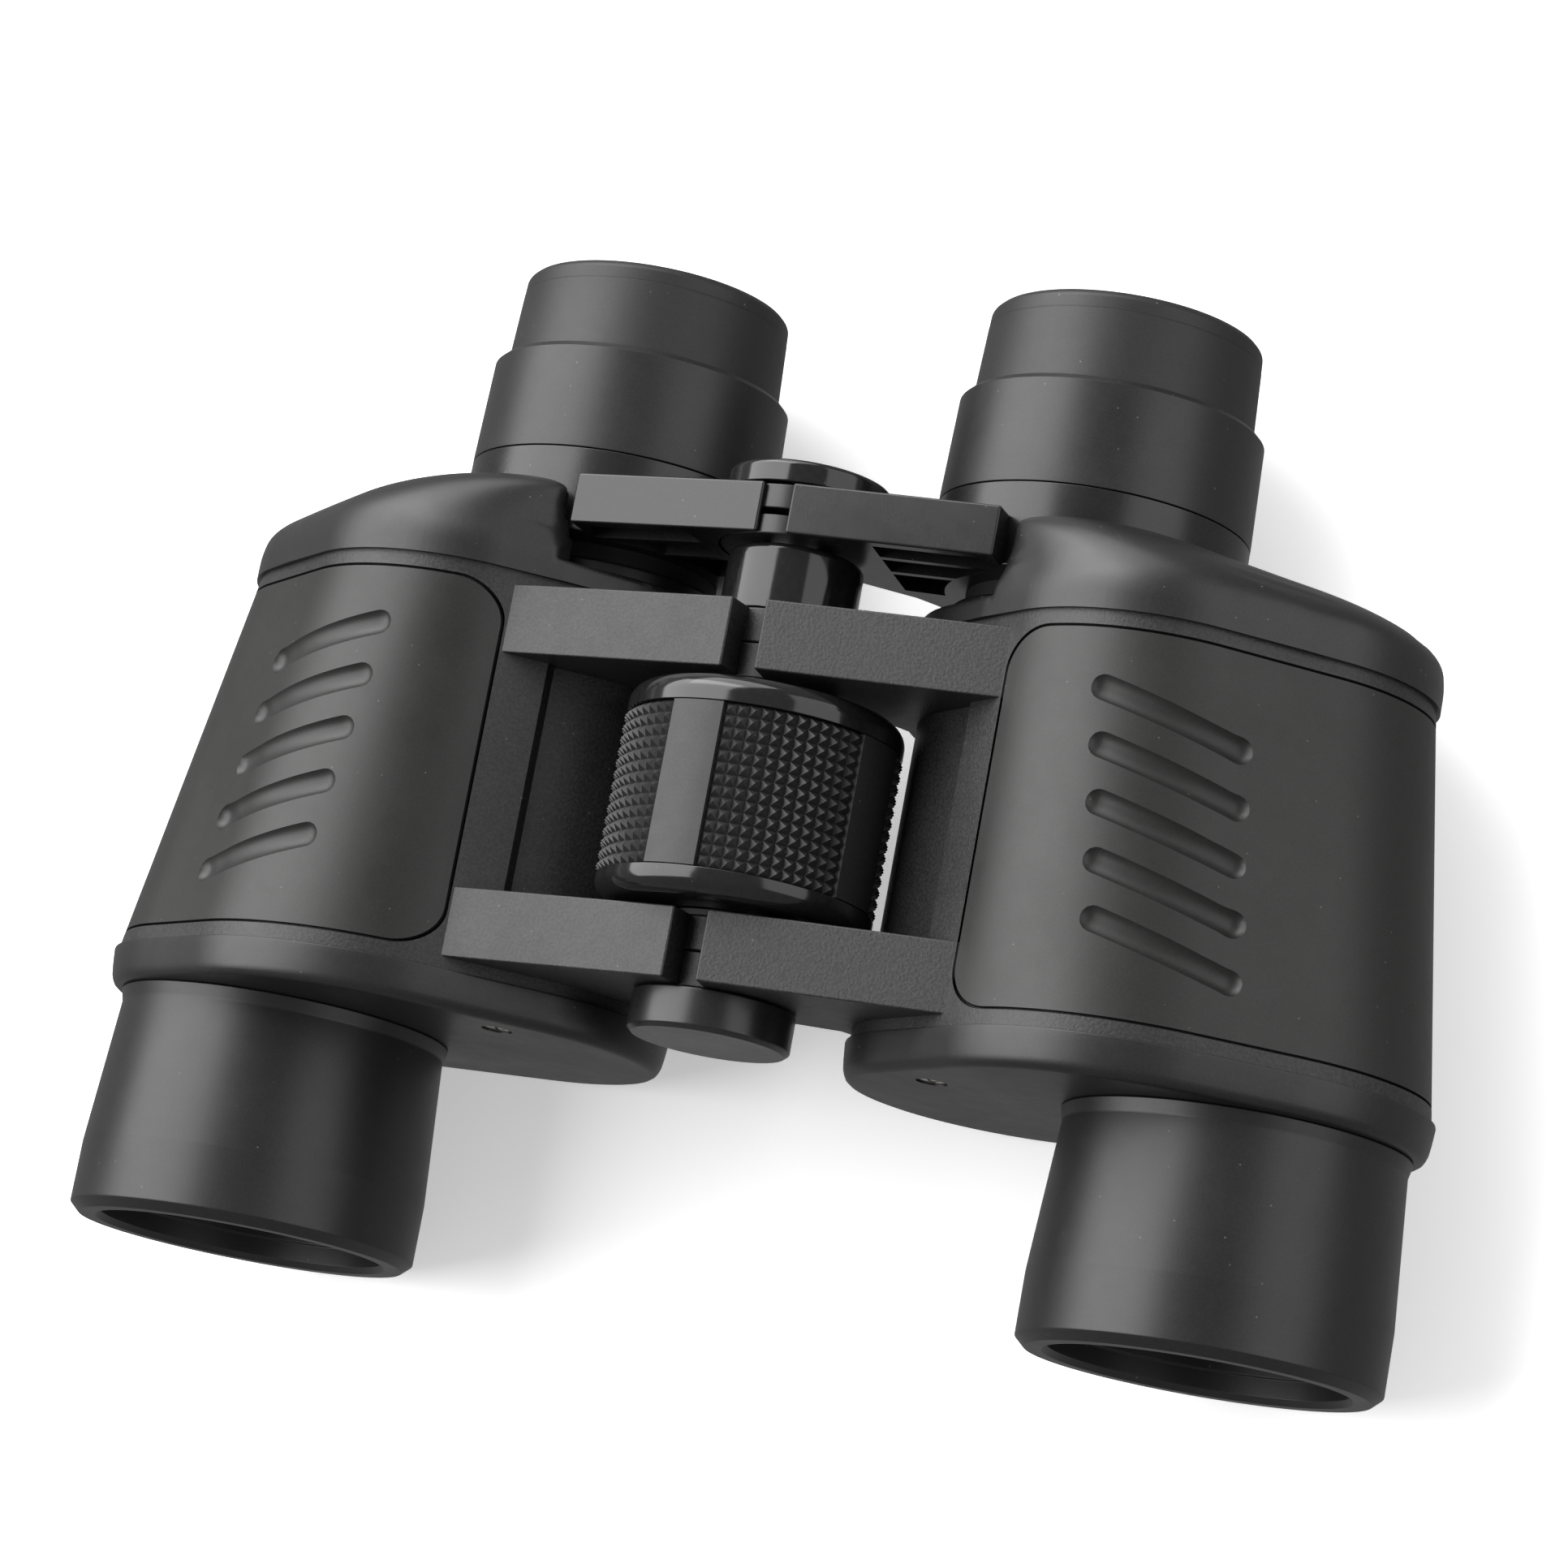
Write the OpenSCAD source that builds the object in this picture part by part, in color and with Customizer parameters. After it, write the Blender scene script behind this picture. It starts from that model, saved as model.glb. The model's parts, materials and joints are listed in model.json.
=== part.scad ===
// Porro prism binoculars, lying on their housings with the objectives towards -Y.
// Left and right are the user's own, so the left half is on +X.
// Each half is drawn in its own frame: u runs outboard from the hinge axis, h is height above it,
// and a station is the distance from the front face of the objective rims, towards the eyepieces.

/* [Stance] */
// Droop of each half below the level, at rest
droop = 6; // [0:0.5:12]
// Play between faces that pass each other without touching
gap = 0.3; // [0.2:0.05:0.5]

/* [Optical axes] */
// Outboard place of the objective axis
objective_u = 72.5; // [68:0.5:84]
// Height of the objective axis
objective_h = -7.7; // [-12:0.1:-4]
// Outboard place of the eyepiece axis
eye_u = 37.6; // [34:0.1:40]
// Height of the eyepiece axis
eye_h = -13.4; // [-16:0.1:-11]

/* [Objective barrel] */
// Outer radius of the rim
rim_r = 24.7; // [23:0.1:29]
// Radius at the root, on the front cover
root_r = 23.3; // [22:0.1:25]
// Length of the barrel, rim to front cover
barrel_len = 32.6; // [27:0.1:40]
// Length of the straight stretch behind the rim, which a lens cap grips
rim_len = 10; // [8:0.5:12]
// Bevel of the rim
rim_bevel = 1.4; // [0.6:0.1:1.8]
// Radius of the opening in the rim, which holds the lenses
objective_r = 19.8; // [17:0.1:20.5]
// Clear radius behind the lenses
stop_r = 17.8; // [15:0.1:18.2]
// Depth of the front lens behind the rim
objective_recess = 11; // [9:0.5:13]
// Radius of the thread that enters the front cover
barrel_neck_r = 21.4; // [20.8:0.1:21.8]

/* [Housing] */
// Length of the front cover
front_cover_len = 5.4; // [4.4:0.2:7]
// Length of the prism housing
housing_len = 57; // [46:0.5:70]
// Housing wall
wall = 2.6; // [2.2:0.1:3]
// Radius of the lobe round the eyepiece axis
eye_lobe_r = 23.5; // [23:0.1:24.5]
// Radius of the lobe round the objective axis
objective_lobe_r = 25.3; // [25:0.1:27]
// Radius of the lobe over the prisms
top_lobe_r = 29.4; // [28:0.1:31]
// How far the outboard side closes in at the rear
rear_close = 6; // [4:0.2:8]
// How far the covers stand proud of the housing
cover_proud = 0.6; // [0.3:0.1:1]
// Depth of the clearance for the focus wheel
wheel_relief = 1.4; // [1.2:0.1:1.9]
// Outboard edge of the clearance for the focus wheel
relief_u = 30.4; // [28:0.2:32]

/* [Grip panel] */
// Thickness of the rubber
grip_t = 1.2; // [0.8:0.1:1.4]
// Inboard edge of the rubber
grip_u = 35.6; // [33:0.2:38]
// Bare border between the rubber and each cover
grip_border = 2.1; // [1.4:0.1:3]
// Corner radius of the rubber
grip_corner = 6; // [3:0.5:8]
// Width of the groove round the rubber
grip_line = 0.4; // [0.2:0.1:0.6]
// Number of finger grooves on the top, and again below
groove_count = 5; // [3:1:5]
// Half the width of a finger groove
groove_r = 1.8; // [1.2:0.1:2.2]
// Depth of a finger groove
groove_depth = 0.7; // [0.4:0.1:0.9]

/* [Rear cover] */
// Height of the dome over the parting line
dome_len = 15; // [13.5:0.5:18]
// Thickness of the flange under the eyepiece
flange_t = 3; // [2:0.2:4]
// Wall of the dome
dome_wall = 2; // [1.6:0.1:2.4]
// Height of the guide for the ocular tube, over the parting line
guide_len = 5.8; // [4:0.2:6.6]
// Wall of the guide
guide_wall = 1.8; // [1.4:0.1:2.2]
// Inboard end of the dome
dome_u = 31.2; // [30.8:0.1:33]
// Radius of the strap bar
strap_bar_r = 1.1; // [0.8:0.1:1.4]

/* [Hinge arms] */
// Height of the flat tops of the housing arms
arm_top = 14.5; // [12:0.1:16]
// Width of the front and middle arms along the axis
arm_w = 9.9; // [8:0.1:12]
// Half the slot between the two halves' arms
arm_slot = 0.92; // [0.5:0.02:1.4]
// Radius of the knuckles
knuckle_r = 9.5; // [8.6:0.1:10]
// Radius of the hinge axles
axle_r = 6.5; // [6.1:0.1:7]

/* [Bridge] */
// Height of the flat tops of the eyepiece arms
bridge_top = 11.9; // [10:0.1:13]
// Width of the eyepiece arms along the axis
bridge_w = 7.2; // [6:0.1:9]
// Open length between the middle arms and the bridge
bridge_space = 10.2; // [9:0.1:13]
// Radius of the bridge knuckles
bridge_knuckle_r = 11; // [10:0.1:11.4]
// Depth of the pockets under the eyepiece arms
bridge_pocket = 4.6; // [3:0.1:5.4]
// Radius of the bridge cap
bridge_cap_r = 11.4; // [10:0.1:12]
// Thickness of the bridge cap
bridge_cap_t = 3.3; // [2.6:0.1:4]

/* [Focus] */
// Outer radius of the wheel's tread
wheel_r = 19.5; // [16:0.1:20]
// Thickness of the tread
tread_t = 1.4; // [1:0.1:2]
// Thickness of the washer behind the wheel
rear_washer_t = 1.5; // [0.8:0.1:2]
// Rounding of the wheel's rims
wheel_round = 2.8; // [1.5:0.1:3.2]
// Radius of the focus spindle
spindle_r = 5; // [4.4:0.1:5.3]
// Radius of the sleeve behind the middle arms
sleeve_r = 9.5; // [8:0.1:10.5]
// Travel of the eyepieces
focus_travel = 8.4; // [6:0.2:9]

/* [Tripod socket] */
// Radius of the socket, a quarter-inch thread
tripod_r = 3.175; // [3.175:0.001:4.763]
// Depth of the thread
tripod_depth = 9; // [7:0.5:11]
// Wall of the brass bush
bush_wall = 1.4; // [1:0.1:1.6]
// Radius of the nose that the cap screws on
nose_r = 8.5; // [7.8:0.1:9]
// Length of the nose
nose_len = 4; // [3:0.1:4.5]
// Radius of the cap
tripod_cap_r = 11.3; // [10.4:0.1:12]
// Thickness of the cap's face
tripod_cap_t = 1.7; // [1.2:0.1:2.2]

/* [Eyepiece] */
// Radius of the ocular tube
tube_r = 16; // [15:0.1:16.2]
// Wall of the ocular tube
tube_wall = 1.6; // [1.2:0.1:2]
// Radius of the eyepiece ring and the foot of the collar
collar_r = 22; // [21:0.1:23]
// Radius at the top of the collar
collar_top_r = 21.5; // [21.2:0.1:22.5]
// Length of the eyepiece ring behind the bridge
ring_rise = 4.9; // [3:0.1:7]
// Length of the collar
collar_len = 15.7; // [13:0.1:19]
// Radius of the spigot that the collar turns on
spigot_r = 18.5; // [18:0.1:18.8]
// Length of the spigot
spigot_len = 6.6; // [5:0.1:8]
// Radius at the foot of the eyecup
eyecup_r = 20; // [19.4:0.1:20.2]
// Radius at the lip of the eyecup
eyecup_lip_r = 19.3; // [18.8:0.1:19.6]
// Length of the eyecup above the collar
eyecup_len = 13.2; // [11:0.1:17]
// Wall of the eyecup
eyecup_wall = 2.1; // [1.6:0.1:2.6]
// Depth of the eyecup's foot inside the collar
eyecup_foot = 3; // [2.4:0.1:3.4]
// Clear radius of the eye lens
eye_clear_r = 10.5; // [8:0.1:12]
// Travel of the dioptre adjustment, each way
dioptre_travel = 1.2; // [0.8:0.1:1.2]

/* [Prisms] */
// Width of a prism
prism_w = 18; // [15:0.5:18.5]
// Length of a prism's long face
prism_len = 42; // [38:0.5:43]
// Blunt width of a prism's far edge
prism_blunt = 2; // [1:0.1:4]
// Thickness of the prism shelf
shelf_t = 2.6; // [2:0.1:4]
// Distance of the shelf in front of the rear parting line
shelf_back = 24; // [24:0.5:27]
// Radius of the windows in the shelf
window_r = 9; // [7:0.1:9.5]

/* [Fits] */
// Radial play of a shaft that turns or slides
run_fit = 0.05; // [0.02:0.01:0.09]
// Radial play of pieces fixed together
seat_fit = 0.02; // [0.01:0.01:0.04]
// Radius of the cover screws' heads
screw_head_r = 2.1; // [1.6:0.1:2.4]
// Radius of the cover screws' shanks
screw_r = 1.2; // [0.9:0.1:1.3]

/* [Hidden] */
$fn = 96;

left = 1;
right = -1;
hair = 0.01;
far = 200;
loft_fn = 60;
arc_steps = 16;

// Stations, from the front face of the rims towards the eyepieces
front_face = barrel_len;
front_part = front_face + front_cover_len;
rear_part = front_part + housing_len;
front_arm = front_part + 1.7;
front_arm_end = front_arm + arm_w;
middle_arm_end = rear_part - 1.9;
middle_arm = middle_arm_end - arm_w;
bridge = middle_arm_end + bridge_space;
bridge_end = bridge + bridge_w;
ring_end = bridge_end + ring_rise;
collar = ring_end + gap;
collar_end = collar + collar_len;
eyecup_end = collar_end + eyecup_len;
flange_end = rear_part + flange_t;
guide_end = rear_part + guide_len;
dome_end = rear_part + dome_len;
shelf = rear_part - shelf_back - shelf_t;
shelf_end = shelf + shelf_t;
grip_start = front_part + grip_border;
grip_end = rear_part - grip_border;
tube_start = rear_part - 10;
field_lens_s = rear_part + 8;
tube_end = collar_end + 2.6;
front_washer_t = 0.8;
wheel = front_arm_end + front_washer_t + gap;
wheel_end = middle_arm - rear_washer_t - gap;
tread = wheel + 3.5;
tread_end = wheel_end - 4.2;
nose = front_arm - nose_len - 0.2;
cap_face = nose - tripod_cap_t - 0.1;

// Lobes of the housing outline, each [u, h, radius], at the front and the rear parting line
eye_lobe = [eye_u + 2.9, eye_h + 0.4, eye_lobe_r];
front_lobes = [eye_lobe,
    [(objective_u + eye_u) / 2 + 2.4, (objective_h + eye_h) / 2 + 5.45, top_lobe_r],
    [objective_u, objective_h, objective_lobe_r]];
rear_lobes = [eye_lobe,
    [front_lobes[1][0] - rear_close + 0.75, front_lobes[1][1] + 5, top_lobe_r - 7.2],
    [objective_u - rear_close, objective_h - 2.8, objective_lobe_r - 2.5]];

// Levels of the dome, each [station over the parting line, inset, how far it closes in]
dome_levels = [[hair, 0, 0], [dome_len * 0.35, 0.7, 0], [dome_len * 0.6, 3, 2],
    [dome_len * 0.85, 7, 11], [dome_len, 12.4, 23]];

// Height of the hinge axis over the surface that the covers rest on
hinge_height = max([for (lobe = front_lobes) lobe[0] * sin(droop) - lobe[1] * cos(droop) + lobe[2]])
    + cover_proud;

// Light path: the prisms step the axis across in two equal steps at right angles
axis_step = [eye_u - objective_u, eye_h - objective_h];
rear_step = [axis_step[0] + axis_step[1], axis_step[1] - axis_step[0]] / 2;
mid_axis = [objective_u + rear_step[0], objective_h + rear_step[1]];
rear_prism_turn = atan2(rear_step[1], rear_step[0]);
prism_h = (prism_len - prism_blunt) / 2;

// Screws of the front cover, each [u, h]
cover_screw_places = [[eye_u - 5.4, eye_h + 14.8]];
screw_head_t = 1.3;
cover_t = 2.4;
screw_len = 9;
boss_r = 3.2;

// Lip of a cover, which enters the housing
lip_t = 1.4;
lip_len = 2.4;
lip_play = 0.15;

function lobe_at(i, s) = let (t = (s - front_part) / housing_len)
    front_lobes[i] * (1 - t) + rear_lobes[i] * t;

// ---- shared shapes ----

// Puts one half's own frame in place: left is 1, right is -1
module place(side)
    translate([0, -eyecup_end / 2, hinge_height])
        mirror([side < 0 ? 1 : 0, 0, 0])
            rotate([0, droop, 0])
                children();

// Puts a piece that turns about the hinge axis in place
module on_hinge()
    translate([0, -eyecup_end / 2, hinge_height])
        children();

// Extrudes a (u, h) outline between two stations
module between(start, end)
    translate([0, end, 0])
        rotate([90, 0, 0])
            linear_extrude(end - start)
                children();

// Turns a (radius, station) outline about an axis at (u, h)
module turned(u = 0, h = 0)
    translate([u, 0, h])
        rotate([-90, 0, 0])
            rotate_extrude()
                children();

module round_bar(u, h, r, start, end)
    between(start, end)
        translate([u, h])
            circle(r);

module disc(lobe, s, inset)
    translate([lobe[0], s, lobe[1]])
        rotate([90, 0, 0])
            cylinder(h = hair, r = lobe[2] - inset, $fn = loft_fn);

// Direction from the first lobe's centre to the point where the tangent to the next one leaves it
function tangent_turn(a, b) = atan2(b[1] - a[1], b[0] - a[0])
    - acos((a[2] - b[2]) / norm([b[0] - a[0], b[1] - a[1]]));
function on_lobe(lobe, turn, inset) =
    [lobe[0], lobe[1]] + (lobe[2] - inset) * [cos(turn), sin(turn)];

// Points round three lobes, [eye, top, objective], with equal steps on each arc
function outline_points(lobes, inset) = let (ring = [lobes[0], lobes[2], lobes[1]])
    [for (i = [0:2])
        let (from = tangent_turn(ring[(i + 2) % 3], ring[i]), next = tangent_turn(ring[i], ring[(i + 1) % 3]),
            to = next < from ? next + 360 : next)
            for (k = [0:arc_steps]) on_lobe(ring[i], from + (to - from) * k / arc_steps, inset)];

// The housing's outer form between two stations, drawn in by an inset
module housing_form(start, end, inset = 0) {
    n = 3 * (arc_steps + 1);
    polyhedron(
        [for (s = [start, end], p = outline_points([for (i = [0:2]) lobe_at(i, s)], inset)) [p[0], s, p[1]]],
        concat([[for (i = [n - 1:-1:0]) i], [for (i = [0:n - 1]) n + i]],
            [for (i = [0:n - 1]) let (j = (i + 1) % n) [i, j, n + j]],
            [for (i = [0:n - 1]) let (j = (i + 1) % n) [i, n + j, n + i]]));
}

// The smooth outline round three lobes, [eye, top, objective]
module outline(lobes, inset = 0) {
    ring = [lobes[0], lobes[2], lobes[1]];
    for (lobe = ring)
        translate([lobe[0], lobe[1]])
            circle(lobe[2] - inset);
    polygon([for (i = [0:2], k = [0, 1]) let (next = (i + 1) % 3, turn = tangent_turn(ring[i], ring[next]))
        on_lobe(ring[k == 0 ? i : next], turn, inset)]);
}

// A band of the outline between two insets
module rim_band(lobes, start, end, outer, inner)
    between(start, end)
        difference() {
            outline(lobes, outer);
            outline(lobes, inner);
        }

// The dome's outer form; a shrink makes its hollow
module dome_form(shrink = 0)
    hull()
        for (level = dome_levels, i = [0:2])
            disc(rear_lobes[i] - [level[2] * i / 2, 0, 0], rear_part + level[0] - shrink * level[0] / dome_len,
                level[1] + shrink - cover_proud);

// The window that the rubber fills, seen from above
module grip_window(clear = 0)
    translate([0, 0, -far / 2])
        linear_extrude(far) {
            translate([grip_u + clear + grip_corner, grip_start + clear])
                square([far, grip_end - grip_start - 2 * clear]);
            translate([grip_u + clear, grip_start + clear + grip_corner])
                square([far, grip_end - grip_start - 2 * (clear + grip_corner)]);
            for (s = [grip_start + clear + grip_corner, grip_end - clear - grip_corner])
                translate([grip_u + clear + grip_corner, s])
                    circle(grip_corner);
        }

// ---- housing ----

module arm_outline()
    polygon([[arm_slot, arm_top], [grip_u + 0.4, arm_top], [grip_u + 0.4, -12], [18, -13.4],
        [15.5, -9.8], [knuckle_r * cos(60), -knuckle_r * sin(60)], [arm_slot, 0]]);

// Axial span of a half's own knuckle in an arm; the left half has the front one
function own_knuckle(side, start, width) = side == left
    ? [start, start + (width - gap / 2) / 2]
    : [start + (width + gap / 2) / 2, start + width];

module hinged_arm(side, start, width) {
    own = own_knuckle(side, start, width);
    other = own_knuckle(-side, start, width);
    difference() {
        union() {
            between(start, start + width)
                children();
            round_bar(0, 0, knuckle_r, own[0], own[1]);
        }
        round_bar(0, 0, knuckle_r + gap, other[0] - gap / 2, other[1] + gap / 2);
    }
}

// A screw's boss with the rib that joins it to the housing wall
module screw_boss(place)
    between(front_part, front_part + screw_len)
        translate(place) {
            circle(boss_r);
            rotate(atan2(place[1] - objective_h, place[0] - objective_u))
                translate([0, -1.2])
                    square([boss_r + 8, 2.4]);
        }

module prism_housing(side) {
    fit = side == left ? seat_fit : run_fit;
    color("#2b2b2c")
        difference() {
            union() {
                housing_form(front_part, rear_part);
                hinged_arm(side, front_arm, arm_w)
                    arm_outline();
                hinged_arm(side, middle_arm, arm_w)
                    arm_outline();
            }
            difference() {
                housing_form(front_part - 1, rear_part + 1, wall);
                for (place = cover_screw_places)
                    screw_boss(place);
            }
            difference() {
                grip_window();
                housing_form(front_part - 1, rear_part + 1, grip_t);
            }
            difference() {
                translate([0, front_arm_end, -far / 2])
                    cube([relief_u, middle_arm - front_arm_end, far]);
                housing_form(front_part - 1, rear_part + 1, wheel_relief);
            }
            for (place = cover_screw_places)
                round_bar(place[0], place[1], screw_r + seat_fit, front_part - 1,
                    front_part + screw_len - 2);
            round_bar(0, 0, axle_r + fit, front_arm - 1, middle_arm_end + 1);
        }
}

// The grooves step back along the panel; each one slants from its inboard end
groove_first = [grip_u + 15.3, grip_end - 8.5];
groove_step = [1.02, -(grip_end - grip_start - 21.6) / 4];

module groove(i) {
    start = groove_first + i * groove_step;
    slope = [18.2, -5.1];
    length = norm(slope);
    translate([start[0], start[1], -far / 2])
        rotate(atan2(slope[1], slope[0]))
            linear_extrude(far) {
                translate([0, -groove_r])
                    square([length, 2 * groove_r]);
                for (x = [0, length])
                    translate([x, 0])
                        circle(groove_r);
            }
}

module grip_panel()
    color("#252526")
        difference() {
            intersection() {
                housing_form(front_part, rear_part);
                grip_window(grip_line);
            }
            housing_form(front_part - 1, rear_part + 1, grip_t - 0.05);
            difference() {
                for (i = [0:groove_count - 1])
                    groove(i);
                housing_form(front_part - 1, rear_part + 1, groove_depth);
            }
        }

// ---- covers ----

// Room for a screw's boss and rib in the cover's lip
module boss_clearance(place)
    between(front_part, front_part + lip_len + 1)
        translate(place)
            rotate(atan2(place[1] - objective_h, place[0] - objective_u))
                translate([-boss_r - gap, -boss_r - gap])
                    square([boss_r + 12, 2 * (boss_r + gap)]);

module front_cover()
    color("#29292a")
        difference() {
            union() {
                difference() {
                    hull()
                        for (lobe = front_lobes) {
                            disc(lobe, front_face + hair, 1.4);
                            disc(lobe, front_face + 1.6, -cover_proud / 2);
                            disc(lobe, front_part, -cover_proud);
                        }
                    between(front_face + cover_t, front_part + 1)
                        outline(front_lobes, wall + lip_t);
                }
                difference() {
                    rim_band([for (i = [0:2]) lobe_at(i, front_part + lip_len)], front_part - 1,
                        front_part + lip_len, wall + lip_play, wall + lip_t);
                    for (place = cover_screw_places)
                        boss_clearance(place);
                }
                round_bar(objective_u, objective_h, barrel_neck_r + 1.4, front_face + 1, front_part);
                for (place = cover_screw_places)
                    round_bar(place[0], place[1], boss_r, front_face + 1, front_part);
            }
            round_bar(objective_u, objective_h, barrel_neck_r + seat_fit, front_face - 1, rear_part);
            for (place = cover_screw_places) {
                round_bar(place[0], place[1], screw_r + gap, front_face - 1, front_part + 1);
                round_bar(place[0], place[1], screw_head_r + 0.1, front_face - 1,
                    front_face + screw_head_t);
            }
        }

module cover_screws()
    color("#c9c9c6")
        for (place = cover_screw_places)
            difference() {
                union() {
                    round_bar(place[0], place[1], screw_head_r, front_face + 0.2,
                        front_face + screw_head_t);
                    round_bar(place[0], place[1], screw_r, front_face + screw_head_t,
                        front_part + screw_len - 2.5);
                }
                for (turn = [20, 110])
                    translate([place[0], front_face, place[1]])
                        rotate([0, turn, 0])
                            cube([2.2, 2, 0.45], center = true);
            }

// Where the strap passes the dome's outboard shoulder
strap_place = [rear_lobes[2][0] + 15.6, rear_part + dome_len * 0.52, -5.5];
strap_slot = [9, 4.6];
strap_tilt = -38;

module strap_pocket(deep, grow = 0)
    translate(strap_place)
        rotate([0, 0, strap_tilt])
            translate([-strap_slot[0] / 2 - grow, -deep, -strap_slot[1] / 2 - grow])
                cube([strap_slot[0] + 2 * grow, far / 10, strap_slot[1] + 2 * grow]);

module rear_cover()
    color("#29292a")
        difference() {
            union() {
                difference() {
                    dome_form();
                    round_bar(eye_u, eye_h, collar_r + 0.6, flange_end, dome_end + 1);
                    translate([-far, flange_end, -far / 2])
                        cube([far + dome_u, far, far]);
                }
                rim_band(rear_lobes, rear_part - lip_len, rear_part + 1, wall + lip_play, wall + lip_t);
                round_bar(eye_u, eye_h, tube_r + guide_wall, rear_part - 3, guide_end);
            }
            difference() {
                dome_form(dome_wall);
                rim_band(rear_lobes, rear_part - 1, rear_part + 1.6, -5, wall + lip_t);
                round_bar(eye_u, eye_h, collar_r + 0.6 + dome_wall, rear_part - 1, dome_end);
                translate([-far, rear_part - 1, -far / 2])
                    cube([far + dome_u + dome_wall, far, far]);
                strap_pocket(5.6, 1.6);
            }
            round_bar(eye_u, eye_h, tube_r + run_fit, rear_part - 10, guide_end + 1);
            strap_pocket(3.6);
        }

module strap_bar()
    color("#3a3a3b")
        translate([strap_place[0], strap_place[1], strap_place[2]])
            rotate([0, 0, strap_tilt])
                translate([0, -1.7, 0])
                    cylinder(h = strap_slot[1] - 0.04, r = strap_bar_r, center = true);

// ---- objective ----

lens_back = objective_recess + 7.6;

module objective_barrel()
    color("#262627")
        turned(objective_u, objective_h)
            polygon([[objective_r, 0.5], [objective_r + 0.5, 0], [rim_r - rim_bevel, 0],
                [rim_r, rim_bevel * 0.7], [rim_r, rim_len], [root_r, front_face - 2],
                [root_r + 0.5, front_face], [barrel_neck_r, front_face],
                [barrel_neck_r, front_part - 0.6], [barrel_neck_r - 1.8, front_part - 0.6],
                [barrel_neck_r - 1.8, lens_back + 2], [stop_r, lens_back + 2], [stop_r, lens_back],
                [objective_r, lens_back]]);

module objective_retainer()
    color("#1d1d1e")
        turned(objective_u, objective_h)
            polygon([[objective_r - 1.6, objective_recess - 1.7],
                [objective_r - seat_fit, objective_recess - 2.4],
                [objective_r - seat_fit, objective_recess], [objective_r - 1.6, objective_recess]]);

// A lens section from its edge radius, edge faces and the bulge of each face
function lens(r, front, back, front_bulge, back_bulge) = concat(
    [for (i = [0:12]) [r * i / 12, front - front_bulge * (1 - pow(i / 12, 2))]],
    [for (i = [12:-1:0]) [r * i / 12, back + back_bulge * (1 - pow(i / 12, 2))]]);

module objective_crown_lens()
    color([0.55, 0.7, 0.66, 0.6])
        turned(objective_u, objective_h)
            polygon(lens(objective_r - 0.1, objective_recess + 0.4, objective_recess + 2.8, 1.6, 1.6));

module objective_flint_lens()
    color([0.6, 0.7, 0.7, 0.6])
        turned(objective_u, objective_h)
            polygon(lens(objective_r - 0.1, objective_recess + 4.5, lens_back - 0.1, 0, 0));

// ---- prisms ----

// A right-angle prism: its long face lies at z = 0, its far edge is up
module prism()
    rotate([90, 0, 90])
        translate([0, 0, -prism_w / 2])
            linear_extrude(prism_w)
                polygon([[-prism_len / 2, 0], [prism_len / 2, 0],
                    [prism_blunt / 2, prism_h], [-prism_blunt / 2, prism_h]]);

module prism_place(from, to, s, towards_eye)
    translate([(from[0] + to[0]) / 2, s, (from[1] + to[1]) / 2])
        rotate([0, 90 - atan2(to[1] - from[1], to[0] - from[0]), 0])
            rotate([towards_eye ? -90 : 90, 0, 0])
                children();

module rear_prism()
    color([0.75, 0.85, 0.9, 0.5])
        prism_place([objective_u, objective_h], mid_axis, shelf_end + 0.1, true)
            prism();

module front_prism()
    color([0.75, 0.85, 0.9, 0.5])
        prism_place(mid_axis, [eye_u, eye_h], shelf - 0.1, false)
            prism();

module prism_shelf()
    color("#4a4a4c")
        difference() {
            between(shelf, shelf_end)
                outline([for (i = [0:2]) lobe_at(i, shelf_end)], wall + 0.4);
            for (place = [[objective_u, objective_h], mid_axis, [eye_u, eye_h]])
                round_bar(place[0], place[1], window_r, shelf - 1, shelf_end + 1);
        }

// Spring straps over the far edges of the prisms
module prism_clip()
    translate([-prism_w / 2 - 1.2, -2.5, prism_h + 0.1])
        cube([prism_w + 2.4, 5, 0.6]);

module prism_clips()
    color("#b9b9b5") {
        prism_place([objective_u, objective_h], mid_axis, shelf_end + 0.1, true)
            prism_clip();
        prism_place(mid_axis, [eye_u, eye_h], shelf - 0.1, false)
            prism_clip();
    }

// ---- eyepiece ----

module bridge_outline() {
    polygon([[arm_slot, bridge_top], [dome_u - 1.9, bridge_top], [dome_u - 0.8, eye_h + collar_r - 1],
        [eye_u, eye_h], [21, -25], [18.2, -21], [13.7, -15.2],
        [bridge_knuckle_r * cos(60), -bridge_knuckle_r * sin(60)], [arm_slot, 0]]);
    translate([eye_u, eye_h])
        circle(collar_r);
}

module bridge_hinge(side) {
    own = own_knuckle(side, bridge, bridge_w);
    other = own_knuckle(-side, bridge, bridge_w);
    difference() {
        union() {
            between(bridge, bridge_end)
                bridge_outline();
            round_bar(0, 0, bridge_knuckle_r, own[0], own[1]);
        }
        round_bar(0, 0, bridge_knuckle_r + gap, other[0] - 1, other[1] + (side == left ? 1 : gap / 2));
    }
}

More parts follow.
